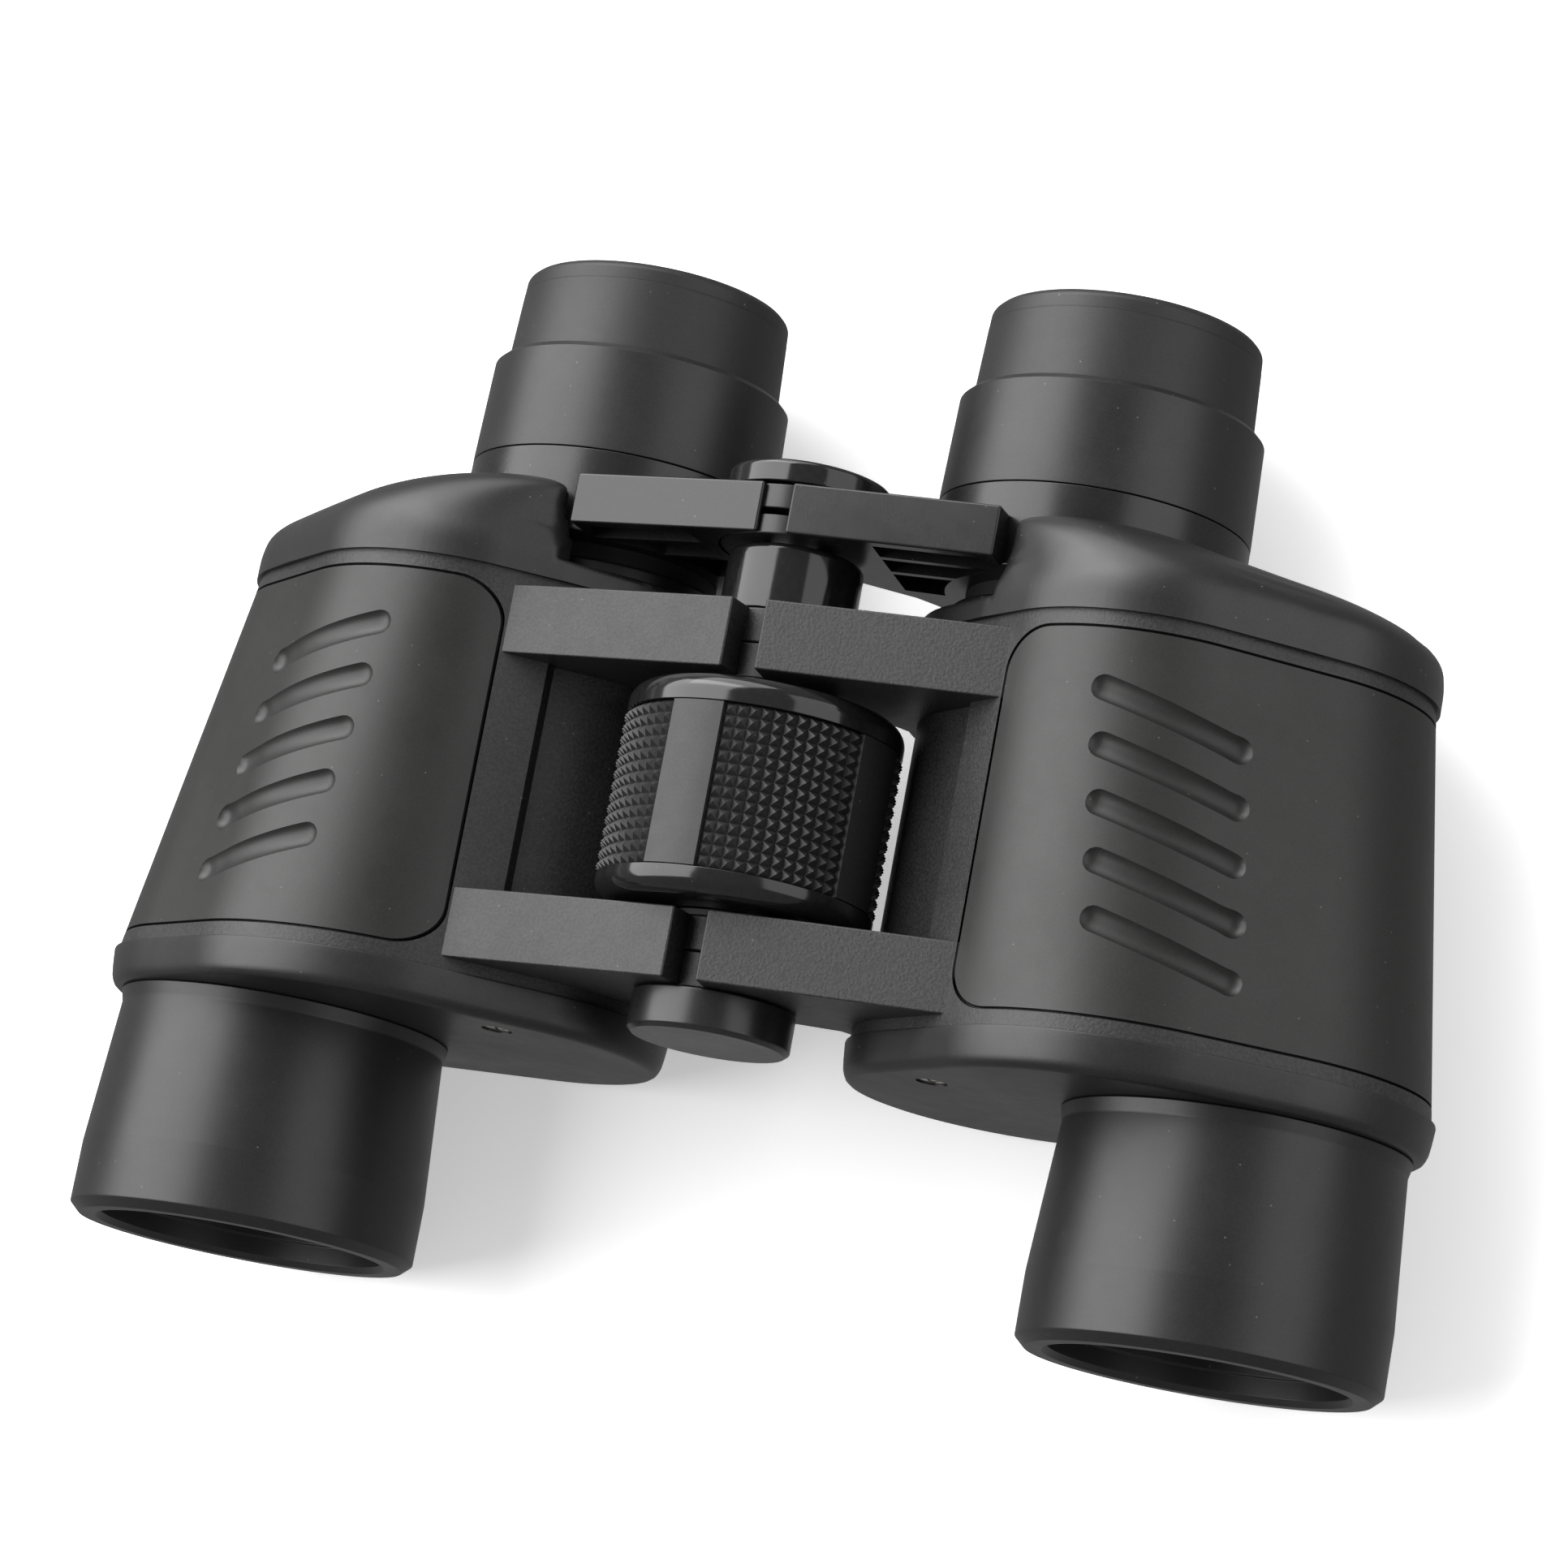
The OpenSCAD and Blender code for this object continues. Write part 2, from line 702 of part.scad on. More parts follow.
module eyepiece_arm(side) {
    fit = side == left ? seat_fit : run_fit;
    pocket_u = bridge_knuckle_r + gap + 1.6;
    color("#232324")
        difference() {
            union() {
                bridge_hinge(side);
                round_bar(eye_u, eye_h, collar_r, bridge, ring_end);
                round_bar(eye_u, eye_h, spigot_r, bridge, ring_end + spigot_len);
            }
            difference() {
                between(bridge - 1, bridge + bridge_pocket)
                    polygon([[pocket_u, bridge_top - 2], [dome_u - 3, bridge_top - 2],
                        [eye_u, eye_h], [pocket_u, -11.4]]);
                round_bar(eye_u, eye_h, tube_r + 3, bridge - 2, ring_end);
                for (rib = [3.6, -3.4])
                    translate([0, bridge, rib])
                        cube([far, bridge_pocket + 1, 1.2]);
            }
            round_bar(0, 0, spindle_r + fit, bridge - 1, bridge_end + 1);
            round_bar(eye_u, eye_h, tube_r + (side == left ? seat_fit : run_fit), bridge - 1,
                collar_end);
        }
}

module ocular_tube()
    color("#1c1c1d")
        turned(eye_u, eye_h)
            polygon([[tube_r, tube_start], [tube_r, tube_end], [eye_clear_r, tube_end],
                [eye_clear_r, tube_end - 1.4], [tube_r - tube_wall, tube_end - 1.4],
                [tube_r - tube_wall, tube_start]]);

cup_r = eyecup_r + gap;

module collar_form(lug_play)
    turned(eye_u, eye_h)
        polygon([[spigot_r + lug_play, collar], [collar_r, collar], [collar_r, collar + 1],
            [collar_top_r + 0.1, collar_end - 0.8], [collar_top_r - 0.3, collar_end],
            [cup_r, collar_end], [cup_r, collar_end - eyecup_foot - dioptre_travel - gap],
            [spigot_r + lug_play, collar_end - eyecup_foot - dioptre_travel - gap]]);

module eyepiece_collar()
    color("#272728")
        collar_form(seat_fit);

module dioptre_ring()
    color("#272728")
        collar_form(run_fit);

module eyecup() {
    foot = collar_end - eyecup_foot;
    seat = tube_end + 1.2;
    color("#1f1f20")
        turned(eye_u, eye_h)
            polygon([[tube_r + seat_fit, foot], [eyecup_r, foot], [eyecup_r, collar_end],
                [eyecup_lip_r, eyecup_end - 1.4], [eyecup_lip_r - 0.4, eyecup_end - 0.4],
                [eyecup_lip_r - 1, eyecup_end], [eyecup_lip_r - eyecup_wall + 0.6, eyecup_end - 0.2],
                [eyecup_lip_r - eyecup_wall, eyecup_end - 1], [eyecup_r - eyecup_wall - 0.6, seat],
                [eye_clear_r + 1.6, seat], [eye_clear_r + 1.6, tube_end + 0.05],
                [tube_r + seat_fit, tube_end + 0.05]]);
}

bore_r = tube_r - tube_wall - 0.1;

module field_lens()
    color([0.6, 0.7, 0.7, 0.6])
        turned(eye_u, eye_h)
            polygon(lens(bore_r, field_lens_s, field_lens_s + 3, 1.8, 1.8));

module field_stop()
    color("#151515")
        turned(eye_u, eye_h)
            polygon([[bore_r - 3.4, field_lens_s + 6.6], [bore_r, field_lens_s + 6.6],
                [bore_r, field_lens_s + 8.4], [bore_r - 2.6, field_lens_s + 8.4]]);

module eye_lens()
    color([0.5, 0.62, 0.7, 0.6])
        turned(eye_u, eye_h)
            polygon(lens(bore_r, tube_end - 7.4, tube_end - 2.6, 1.6, 1));

// ---- hinge and focus ----

bush_r = tripod_r + bush_wall;

module front_axle()
    color("#8f8f92")
        turned()
            polygon([[bush_r + seat_fit, nose], [nose_r, nose], [nose_r, front_arm - 0.1],
                [axle_r, front_arm - 0.1], [axle_r, wheel + 3], [0, wheel + 3],
                [0, nose + tripod_depth], [bush_r + seat_fit, nose + tripod_depth]]);

module tripod_bush()
    color("#b08d3c")
        turned()
            polygon([[tripod_r, nose], [bush_r, nose], [bush_r, nose + tripod_depth - 0.1],
                [tripod_r, nose + tripod_depth - 0.1]]);

module tripod_cap()
    color("#1b1b1c")
        turned()
            polygon([[0, cap_face], [tripod_cap_r - 0.3, cap_face], [tripod_cap_r, cap_face + 0.3],
                [tripod_cap_r, front_arm - 0.3], [nose_r + run_fit, front_arm - 0.3],
                [nose_r + run_fit, nose - 0.1], [0, nose - 0.1]]);

module rear_axle()
    color("#8f8f92")
        turned()
            polygon([[spindle_r + run_fit, wheel_end - 3], [axle_r, wheel_end - 3],
                [axle_r, bridge - 3], [spindle_r + run_fit, bridge - 3]]);

module spindle_sleeve()
    color("#0f0f10")
        turned()
            polygon([[axle_r + seat_fit, middle_arm_end + 0.1], [sleeve_r, middle_arm_end + 0.1],
                [sleeve_r, bridge - 1.6], [sleeve_r - 1, bridge - 0.6], [spindle_r + gap, bridge - 0.6],
                [spindle_r + gap, bridge - 2.9], [axle_r + seat_fit, bridge - 2.9]]);

module thrust_washers()
    color("#c2c2be")
        for (span = [[front_arm_end, wheel], [wheel_end, middle_arm]])
            turned()
                polygon([[axle_r + 0.1, span[0] + gap / 2], [knuckle_r - 0.5, span[0] + gap / 2],
                    [knuckle_r - 0.5, span[1] - gap / 2], [axle_r + 0.1, span[1] - gap / 2]]);

module focus_wheel_drum() {
    rim = wheel_r - 0.2;
    seat = wheel_r - tread_t;
    color("#101011")
        turned()
            polygon(concat(
                [[axle_r + run_fit, wheel]],
                [for (a = [-90:15:0]) [rim - wheel_round + wheel_round * cos(a),
                    wheel + wheel_round + wheel_round * sin(a)]],
                [[rim, tread], [seat, tread], [seat, tread_end], [rim, tread_end]],
                [for (a = [0:15:90]) [rim - wheel_round + wheel_round * cos(a),
                    wheel_end - wheel_round + wheel_round * sin(a)]],
                [[axle_r + run_fit, wheel_end], [axle_r + run_fit, wheel_end - 3.2],
                    [spindle_r + run_fit, wheel_end - 3.2], [spindle_r + run_fit, wheel + 3.2],
                    [axle_r + run_fit, wheel + 3.2]]));
}

module focus_wheel_tread()
    color("#1a1a1b")
        turned()
            polygon([[wheel_r - tread_t + seat_fit, tread + 0.1], [wheel_r, tread + 0.1],
                [wheel_r, tread_end - 0.1], [wheel_r - tread_t + seat_fit, tread_end - 0.1]]);

module focus_spindle()
    color("#a7a7a9")
        difference() {
            round_bar(0, 0, spindle_r, wheel + 5, bridge_end + gap);
            round_bar(0, 0, 1.5 + seat_fit, bridge_end - 8, bridge_end + 1);
        }

cap_start = bridge_end + gap + 0.05;
cap_end = cap_start + bridge_cap_t;

module bridge_cap()
    color("#0f0f10")
        turned()
            polygon([[1.7, cap_start], [bridge_cap_r, cap_start], [bridge_cap_r, cap_end - 0.8],
                [bridge_cap_r - 0.8, cap_end], [3.4, cap_end], [3.4, cap_end - 1.8],
                [1.7, cap_end - 1.8]]);

module bridge_screw()
    color("#c9c9c6")
        difference() {
            turned()
                polygon([[0, bridge_end - 7], [1.5, bridge_end - 7], [1.5, cap_end - 1.75],
                    [3.2, cap_end - 1.75], [3.2, cap_end - 0.5], [2.6, cap_end - 0.2],
                    [0, cap_end - 0.2]]);
            for (turn = [0, 90])
                translate([0, cap_end, 0])
                    rotate([0, turn, 0])
                        cube([3.4, 2, 0.6], center = true);
        }

place(left) prism_housing(left);  // left_prism_housing
place(left) grip_panel();  // left_grip_panel
place(left) front_cover();  // left_front_cover
place(left) rear_cover();  // left_rear_cover
place(left) cover_screws();  // left_cover_screws
place(left) objective_barrel();  // left_objective_barrel
place(left) objective_retainer();  // left_objective_retainer
place(left) objective_crown_lens();  // left_objective_crown_lens
place(left) objective_flint_lens();  // left_objective_flint_lens
place(left) front_prism();  // left_front_prism
place(left) rear_prism();  // left_rear_prism
place(left) prism_shelf();  // left_prism_shelf
place(left) prism_clips();  // left_prism_clips
place(left) strap_bar();  // left_strap_bar
place(left) eyepiece_arm(left);  // left_eyepiece_arm
place(left) ocular_tube();  // left_ocular_tube
place(left) eyepiece_collar();  // left_eyepiece_collar
place(left) field_lens();  // left_field_lens
place(left) field_stop();  // left_field_stop
place(left) eye_lens();  // left_eye_lens
place(left) eyecup();  // left_eyecup
place(right) prism_housing(right);  // right_prism_housing
place(right) grip_panel();  // right_grip_panel
place(right) front_cover();  // right_front_cover
place(right) rear_cover();  // right_rear_cover
place(right) cover_screws();  // right_cover_screws
place(right) objective_barrel();  // right_objective_barrel
place(right) objective_retainer();  // right_objective_retainer
place(right) objective_crown_lens();  // right_objective_crown_lens
place(right) objective_flint_lens();  // right_objective_flint_lens
place(right) front_prism();  // right_front_prism
place(right) rear_prism();  // right_rear_prism
place(right) prism_shelf();  // right_prism_shelf
place(right) prism_clips();  // right_prism_clips
place(right) strap_bar();  // right_strap_bar
place(right) eyepiece_arm(right);  // right_eyepiece_arm
place(right) ocular_tube();  // right_ocular_tube
place(right) dioptre_ring();  // right_dioptre_ring
place(right) field_lens();  // right_field_lens
place(right) field_stop();  // right_field_stop
place(right) eye_lens();  // right_eye_lens
place(right) eyecup();  // right_eyecup
on_hinge() front_axle();
on_hinge() rear_axle();
on_hinge() tripod_bush();
on_hinge() tripod_cap();
on_hinge() thrust_washers();
on_hinge() focus_wheel_drum();
on_hinge() focus_wheel_tread();
on_hinge() focus_spindle();
on_hinge() spindle_sleeve();
on_hinge() bridge_cap();
on_hinge() bridge_screw();
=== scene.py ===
import json
import math

import bmesh
import bpy
import numpy as np
from mathutils import Matrix, Vector

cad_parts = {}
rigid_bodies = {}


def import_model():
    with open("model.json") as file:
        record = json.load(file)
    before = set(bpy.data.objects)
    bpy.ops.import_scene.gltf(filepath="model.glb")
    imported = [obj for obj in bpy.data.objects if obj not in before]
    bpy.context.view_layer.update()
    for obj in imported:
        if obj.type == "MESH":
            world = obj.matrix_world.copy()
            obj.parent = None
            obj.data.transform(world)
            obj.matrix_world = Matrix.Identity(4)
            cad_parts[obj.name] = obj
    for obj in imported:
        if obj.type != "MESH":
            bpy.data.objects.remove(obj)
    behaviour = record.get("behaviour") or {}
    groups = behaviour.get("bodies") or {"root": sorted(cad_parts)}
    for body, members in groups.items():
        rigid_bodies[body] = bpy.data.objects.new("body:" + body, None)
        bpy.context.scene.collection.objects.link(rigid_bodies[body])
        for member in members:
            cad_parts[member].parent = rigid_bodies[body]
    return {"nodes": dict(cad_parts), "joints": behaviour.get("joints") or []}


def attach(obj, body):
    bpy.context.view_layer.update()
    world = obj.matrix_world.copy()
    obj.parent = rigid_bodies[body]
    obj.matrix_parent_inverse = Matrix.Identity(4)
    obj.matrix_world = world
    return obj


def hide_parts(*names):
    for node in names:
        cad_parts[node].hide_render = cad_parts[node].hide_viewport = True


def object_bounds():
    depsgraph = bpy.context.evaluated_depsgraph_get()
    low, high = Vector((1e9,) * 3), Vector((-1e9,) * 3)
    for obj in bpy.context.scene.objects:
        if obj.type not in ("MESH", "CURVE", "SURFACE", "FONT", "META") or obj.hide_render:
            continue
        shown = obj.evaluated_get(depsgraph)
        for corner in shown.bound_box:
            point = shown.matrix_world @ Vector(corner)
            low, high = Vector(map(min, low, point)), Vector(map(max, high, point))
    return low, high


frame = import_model()
cad_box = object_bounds()

# ---- places and sizes, in millimetres as in the part's source ----

MM = 0.001
DROOP = math.radians(6)
FRONT_Y = cad_box[0].y
HINGE_Z = next(j["pos_m"][2] for j in frame["joints"] if j["name"] == "fold")
SIDES = {"left": 1, "right": -1}

EYE = (37.6, -13.4)
OBJECTIVE = (72.5, -7.7)
FRONT_FACE, FRONT_PART, REAR_PART = 32.6, 38.0, 95.0
FRONT_ARM, MIDDLE_ARM, ARM_W = 39.7, 83.2, 9.9
WHEEL, WHEEL_END, TREAD, TREAD_END = 50.7, 81.4, 54.2, 77.2
BRIDGE, BRIDGE_W, RING_END = 103.3, 7.2, 115.4
COLLAR, COLLAR_END, CUP_END = 115.7, 131.4, 144.6
PROUD = 0.6
GAP = 0.3
GRIP_U, GRIP_START, GRIP_END = 35.6, 40.1, 92.9
GRIP_T, GRIP_LINE = 1.2, 0.4
WALL = 2.6
WELL_U = 30.4
FAR, HIGH = 180, 90
KNUCKLE_R, BRIDGE_KNUCKLE_R = 9.5, 11.0
FLANGE = 3.0
STRAP = (82.1, 102.8, -5.5)
SCREW = (32.2, 1.4)

# Lobes of the housing outline [u, h, radius] at the front and the rear parting line
FRONT_LOBES = np.array([[40.5, -13, 23.5], [57.45, -5.1, 29.4], [72.5, -7.7, 25.3]])
REAR_LOBES = np.array([[40.5, -13, 23.5], [52.2, -0.1, 22.2], [66.5, -10.5, 22.8]])

HINGE = Matrix(((MM, 0, 0, 0), (0, MM, 0, FRONT_Y), (0, 0, MM, HINGE_Z), (0, 0, 0, 1)))


def half(side):
    """From a half's own frame (u outboard, station, h up) to the row frame."""
    c, s = math.cos(DROOP) * MM, math.sin(DROOP) * MM
    return Matrix(((side * c, 0, side * s, 0), (0, MM, 0, FRONT_Y), (-s, 0, c, HINGE_Z), (0, 0, 0, 1)))


# ---- mesh tools ----


def solid(points, faces, merge=0.0):
    mesh = bpy.data.meshes.new("solid")
    mesh.from_pydata([tuple(map(float, p)) for p in points], [], faces)
    bm = bmesh.new()
    bm.from_mesh(mesh)
    if merge:
        bmesh.ops.remove_doubles(bm, verts=bm.verts, dist=merge)
    bmesh.ops.recalc_face_normals(bm, faces=bm.faces)
    bm.to_mesh(mesh)
    bm.free()
    return mesh


def skin(rings):
    """A closed form over rings of equal length, with a cap at each end."""
    n, m = len(rings[0]), len(rings)
    points = np.concatenate(rings)
    faces = [
        (r * n + i, r * n + (i + 1) % n, (r + 1) * n + (i + 1) % n, (r + 1) * n + i)
        for r in range(m - 1)
        for i in range(n)
    ]
    return solid(points, faces + [list(range(n))[::-1], list(range((m - 1) * n, m * n))])


def turned(profile, axis=(0.0, 0.0), steps=160):
    """A closed (radius, station) profile turned about an axis at (u, h)."""
    profile = np.array(profile, float)
    turn = np.linspace(0, 2 * math.pi, steps, endpoint=False)
    r, s = profile[:, 0], profile[:, 1]
    points = np.stack(
        [
            axis[0] + np.outer(np.cos(turn), r),
            np.outer(np.ones(steps), s),
            axis[1] + np.outer(np.sin(turn), r),
        ],
        axis=-1,
    ).reshape(-1, 3)
    n = len(profile)
    faces = [
        (i * n + k, i * n + (k + 1) % n, (i + 1) % steps * n + (k + 1) % n, (i + 1) % steps * n + k)
        for i in range(steps)
        for k in range(n)
        if r[k] > 1e-6 or r[(k + 1) % n] > 1e-6
    ]
    return solid(points, faces, merge=1e-5)


def rounded(corners, steps=5):
    """A closed outline whose (x, y, radius) corners are rounded."""
    out = []
    for i, (x, y, r) in enumerate(corners):
        p = np.array((x, y), float)
        a = np.array(corners[i - 1][:2]) - p
        b = np.array(corners[(i + 1) % len(corners)][:2]) - p
        a, b = a / np.linalg.norm(a), b / np.linalg.norm(b)
        if r == 0:
            out.append((x, y))
            continue
        spread = math.acos(np.clip(a @ b, -1, 1)) / 2
        centre = p + (a + b) / np.linalg.norm(a + b) * r / math.sin(spread)
        first = p + a * r / math.tan(spread) - centre
        last = p + b * r / math.tan(spread) - centre
        from_turn = math.atan2(first[1], first[0])
        sweep = (math.atan2(last[1], last[0]) - from_turn + math.pi) % (2 * math.pi) - math.pi
        for k in range(steps + 1):
            t = from_turn + sweep * k / steps
            out.append((centre[0] + r * math.cos(t), centre[1] + r * math.sin(t)))
    return out


def block(outline, start, end, edge=0.0):
    """A (u, h) outline extruded between two stations, its edges eased by a radius."""
    rings = [np.array([(u, s, h) for u, h in outline]) for s in (start, end)]
    mesh = skin(rings)
    if edge:
        bm = bmesh.new()
        bm.from_mesh(mesh)
        crisp = [e for e in bm.edges if e.calc_face_angle(0) > math.radians(25)]
        bmesh.ops.bevel(bm, geom=crisp, offset=edge, segments=3, affect="EDGES", profile=0.5)
        bmesh.ops.recalc_face_normals(bm, faces=bm.faces)
        bm.to_mesh(mesh)
        bm.free()
    return mesh


def slab(outline, low, high):
    """A (u, station) outline extruded in height."""
    return skin([np.array([(u, s, h) for u, s in outline]) for h in (low, high)])


def rod(axis, radius, start, end, edge=0.0, steps=128):
    """A round bar along the stations, with eased ends."""
    corners = [(0, start, 0), (radius, start, edge), (radius, end, edge), (0, end, 0)]
    return turned(rounded(corners, 3), axis, steps)


def combine(base, tools, how):
    """The base with each tool joined (UNION), cut away (DIFFERENCE) or kept in common (INTERSECT)."""
    links = bpy.context.scene.collection.objects
    work = bpy.data.objects.new("work", base)
    links.link(work)
    helpers = []
    for tool in tools:
        helper = bpy.data.objects.new("helper", tool)
        links.link(helper)
        helpers.append(helper)
        change = work.modifiers.new("change", "BOOLEAN")
        change.operation, change.object, change.solver = how, helper, "MANIFOLD"
    graph = bpy.context.evaluated_depsgraph_get()
    result = bpy.data.meshes.new_from_object(work.evaluated_get(graph))
    for thing in [work, *helpers]:
        bpy.data.objects.remove(thing)
    return result


def cut(base, *tools):
    return combine(base, tools, "DIFFERENCE")


def join(base, *tools):
    return combine(base, tools, "UNION")


def piece(name, mesh, place, body, coat, stands_for, sharp=30):
    """A finished piece: set in place, shaded, given its material and its body."""
    mesh = mesh.copy()
    mesh.transform(place)
    if place.determinant() < 0:
        mesh.flip_normals()
    mesh.shade_smooth()
    mesh.set_sharp_from_angle(angle=math.radians(sharp))
    mesh.materials.clear()
    mesh.materials.append(coat)
    thing = bpy.data.objects.new(name, mesh)
    bpy.context.scene.collection.objects.link(thing)
    even = thing.modifiers.new("even shading", "WEIGHTED_NORMAL")
    even.keep_sharp = True
    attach(thing, body)
    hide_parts(*stands_for)
    return thing


# ---- the housing outline ----


def lobes_at(station):
    t = (station - FRONT_PART) / (REAR_PART - FRONT_PART)
    return FRONT_LOBES * (1 - t) + REAR_LOBES * t


def tangent_turn(a, b):
    d = math.hypot(b[0] - a[0], b[1] - a[1])
    return math.atan2(b[1] - a[1], b[0] - a[0]) - math.acos((a[2] - b[2]) / d)


def outline(lobes, inset=0.0, steps=40, flat=14):
    """Points round three lobes [eye, top, objective], the same number on each arc and each flat."""
    ring = [lobes[0], lobes[2], lobes[1]]
    out = []
    for i in range(3):
        before, lobe, after = ring[i - 1], ring[i], ring[(i + 1) % 3]
        first, last = tangent_turn(before, lobe), tangent_turn(lobe, after)
        while last < first:
            last += 2 * math.pi
        turn = np.linspace(first, last, steps + 1)
        r = lobe[2] - inset
        arc = np.stack([lobe[0] + r * np.cos(turn), lobe[1] + r * np.sin(turn)], axis=1)
        reach = after[2] - inset
        landing = np.array([after[0] + reach * math.cos(last), after[1] + reach * math.sin(last)])
        share = (np.arange(1, flat) / flat)[:, None]
        out += [arc, arc[-1] * (1 - share) + landing * share]
    return np.concatenate(out)


def ring_at(lobes, station, inset=0.0, **detail):
    flat = outline(lobes, inset, **detail)
    return np.stack([flat[:, 0], np.full(len(flat), station), flat[:, 1]], axis=1)


def loft(start, end, inset=0.0, count=58, **detail):
    return skin([ring_at(lobes_at(s), s, inset, **detail) for s in np.linspace(start, end, count)])


def core(inset):
    """The housing's form drawn in by an inset and run past both ends, to cut with."""
    return loft(FRONT_PART - 2, REAR_PART + 2, inset, 12, steps=24, flat=6)


def shell_point(u, station, over):
    """Where the upright line at (u, station) meets the housing, over or under, and the normal."""
    flat = outline(lobes_at(station), steps=120)
    ahead = np.roll(flat, -1, axis=0) - np.roll(flat, 1, axis=0)
    normals = np.stack([ahead[:, 1], -ahead[:, 0]], axis=1)
    normals /= np.linalg.norm(normals, axis=1)[:, None]
    side = normals[:, 1] > 0.02 if over else normals[:, 1] < -0.02
    nearest = np.where(side)[0][np.argmin(np.abs(flat[side, 0] - u))]
    point = np.array([u, station, flat[nearest, 1]])
    return point, np.array([normals[nearest, 0], 0, normals[nearest, 1]])


def sweep(points, normals, radius, steps=28, cap_steps=5):
    """A round bar along points, with a ball at each end."""
    along = np.gradient(points, axis=0)
    along /= np.linalg.norm(along, axis=1)[:, None]
    turn = np.linspace(0, 2 * math.pi, steps, endpoint=False)

    def ring(i, r, shift):
        side = np.cross(along[i], normals[i])
        side /= np.linalg.norm(side)
        up = np.cross(side, along[i])
        circle = np.outer(np.cos(turn), up) + np.outer(np.sin(turn), side)
        return points[i] + along[i] * shift + r * circle

    ball = [math.radians(a) for a in np.linspace(86, 0, cap_steps, endpoint=False)]
    rings = [ring(0, radius * math.cos(a), -radius * math.sin(a)) for a in ball]
    rings += [ring(i, radius, 0) for i in range(len(points))]
    rings += [ring(-1, radius * math.cos(a), radius * math.sin(a)) for a in ball[::-1]]
    return skin(rings)


# ---- a closed surface from a field, for the dome ----


def net(field, lows, highs, step):
    """The surface where field(u, z, h) is zero, as a fine net of four-sided faces."""
    u, z, h = (np.arange(a, b + step, step) for a, b in zip(lows, highs))
    grid_u, grid_h = np.meshgrid(u, h, indexing="ij")
    values = np.stack([field(grid_u, level, grid_h) for level in z], axis=1)
    inside = values < 0
    a, b, c = np.array(inside.shape) - 1
    corner_count = sum(
        inside[i : a + i, j : b + j, k : c + k].astype(int)
        for i in (0, 1)
        for j in (0, 1)
        for k in (0, 1)
    )
    crossed = (corner_count > 0) & (corner_count < 8)
    number = np.full(crossed.shape, -1)
    number[crossed] = np.arange(crossed.sum())
    i, j, k = np.where(crossed)
    points = np.stack([u[i] + step / 2, z[j] + step / 2, h[k] + step / 2], axis=1)
    for _ in range(4):
        here = field(*points.T)
        tiny = 0.02
        slope = np.stack(
            [(field(*(points + tiny * np.eye(3)[a]).T) - here) / tiny for a in range(3)], axis=1
        )
        move = -here[:, None] * slope / np.maximum((slope**2).sum(1), 0.1)[:, None]
        size = np.linalg.norm(move, axis=1)[:, None]
        points += move * np.minimum(1, 0.6 * step / np.maximum(size, 1e-9))
    faces = []
    for axis in range(3):
        inner = [slice(1, -1)] * 3
        low, high = list(inner), list(inner)
        low[axis], high[axis] = slice(None, -1), slice(1, None)
        change = inside[tuple(low)] != inside[tuple(high)]
        at = np.array(np.where(change))
        for other in range(3):
            if other != axis:
                at[other] += 1
        one, two = [a for a in range(3) if a != axis]
        loop = []
        for back_one, back_two in ((1, 1), (0, 1), (0, 0), (1, 0)):
            cell = at.copy()
            cell[one] -= back_one
            cell[two] -= back_two
            loop.append(number[tuple(cell)])
        faces.append(np.stack(loop, axis=1))
    return solid(points, np.concatenate(faces).tolist())


def soft_corner(a, b, radius):
    """The space in both a and b, with the corner between them rounded."""
    return np.minimum(-radius, np.maximum(a, b)) + np.hypot(
        np.maximum(radius + a, 0), np.maximum(radius + b, 0)
    )


DIRECTIONS = np.linspace(0, 2 * math.pi, 120, endpoint=False)
WAYS = np.stack([np.cos(DIRECTIONS), np.sin(DIRECTIONS)])
DOME_ROUND = 13.0
DOME_LEN = 15.0


def rear_cover_field(u, z, h):
    """Distance to the rear cover's outside; z is measured from the parting line."""
    shape = np.shape(u)
    flat_u, flat_h = np.ravel(u), np.ravel(h)
    level = np.ravel(z) if np.ndim(z) else np.array([z])
    closing = 23 * (np.clip(level - 5, 0, None) / 10) ** 2.2
    reach = np.max(
        [
            np.outer(lobe[0] - closing * i / 2, WAYS[0]) + lobe[1] * WAYS[1] + lobe[2] + PROUD
            for i, lobe in enumerate(REAR_LOBES)
        ],
        axis=0,
    )
    side = (np.outer(flat_u, WAYS[0]) + np.outer(flat_h, WAYS[1]) - reach).max(axis=1)
    height = level - (DOME_LEN - DOME_ROUND)
    dome = (
        np.hypot(np.maximum(side + DOME_ROUND, 0), np.maximum(height, 0))
        - DOME_ROUND
        + np.minimum(np.maximum(side + DOME_ROUND, height), 0)
    )
    well = np.minimum(np.hypot(flat_u - EYE[0], flat_h - EYE[1]) - 22.6, flat_u - 31.2)
    taken = np.maximum(well, FLANGE - level)
    share = np.clip((level - 3.5) / 4, 0, 1)
    form = soft_corner(dome, -taken, 0.5 + 1.9 * share * share * (3 - 2 * share))
    return form.reshape(shape)


def strap_pocket_field(u, z, h, grow=0.0):
    """Distance to the oblong pocket that holds the strap bar."""
    tilt = math.radians(-38)
    du, ds = u - STRAP[0], z + REAR_PART - STRAP[1]
    across = du * math.cos(tilt) + ds * math.sin(tilt)
    out = -du * math.sin(tilt) + ds * math.cos(tilt)
    sides = np.hypot(np.maximum(np.abs(across) - 2.2, 0), h - STRAP[2]) - 2.3 - grow
    return np.maximum(sides, -(out + 3.6 + grow))


def cover_outside(u, z, h):
    form = soft_corner(rear_cover_field(u, z, h), -strap_pocket_field(u, z, h), 0.5)
    return np.maximum(form, -(z + 1.0))


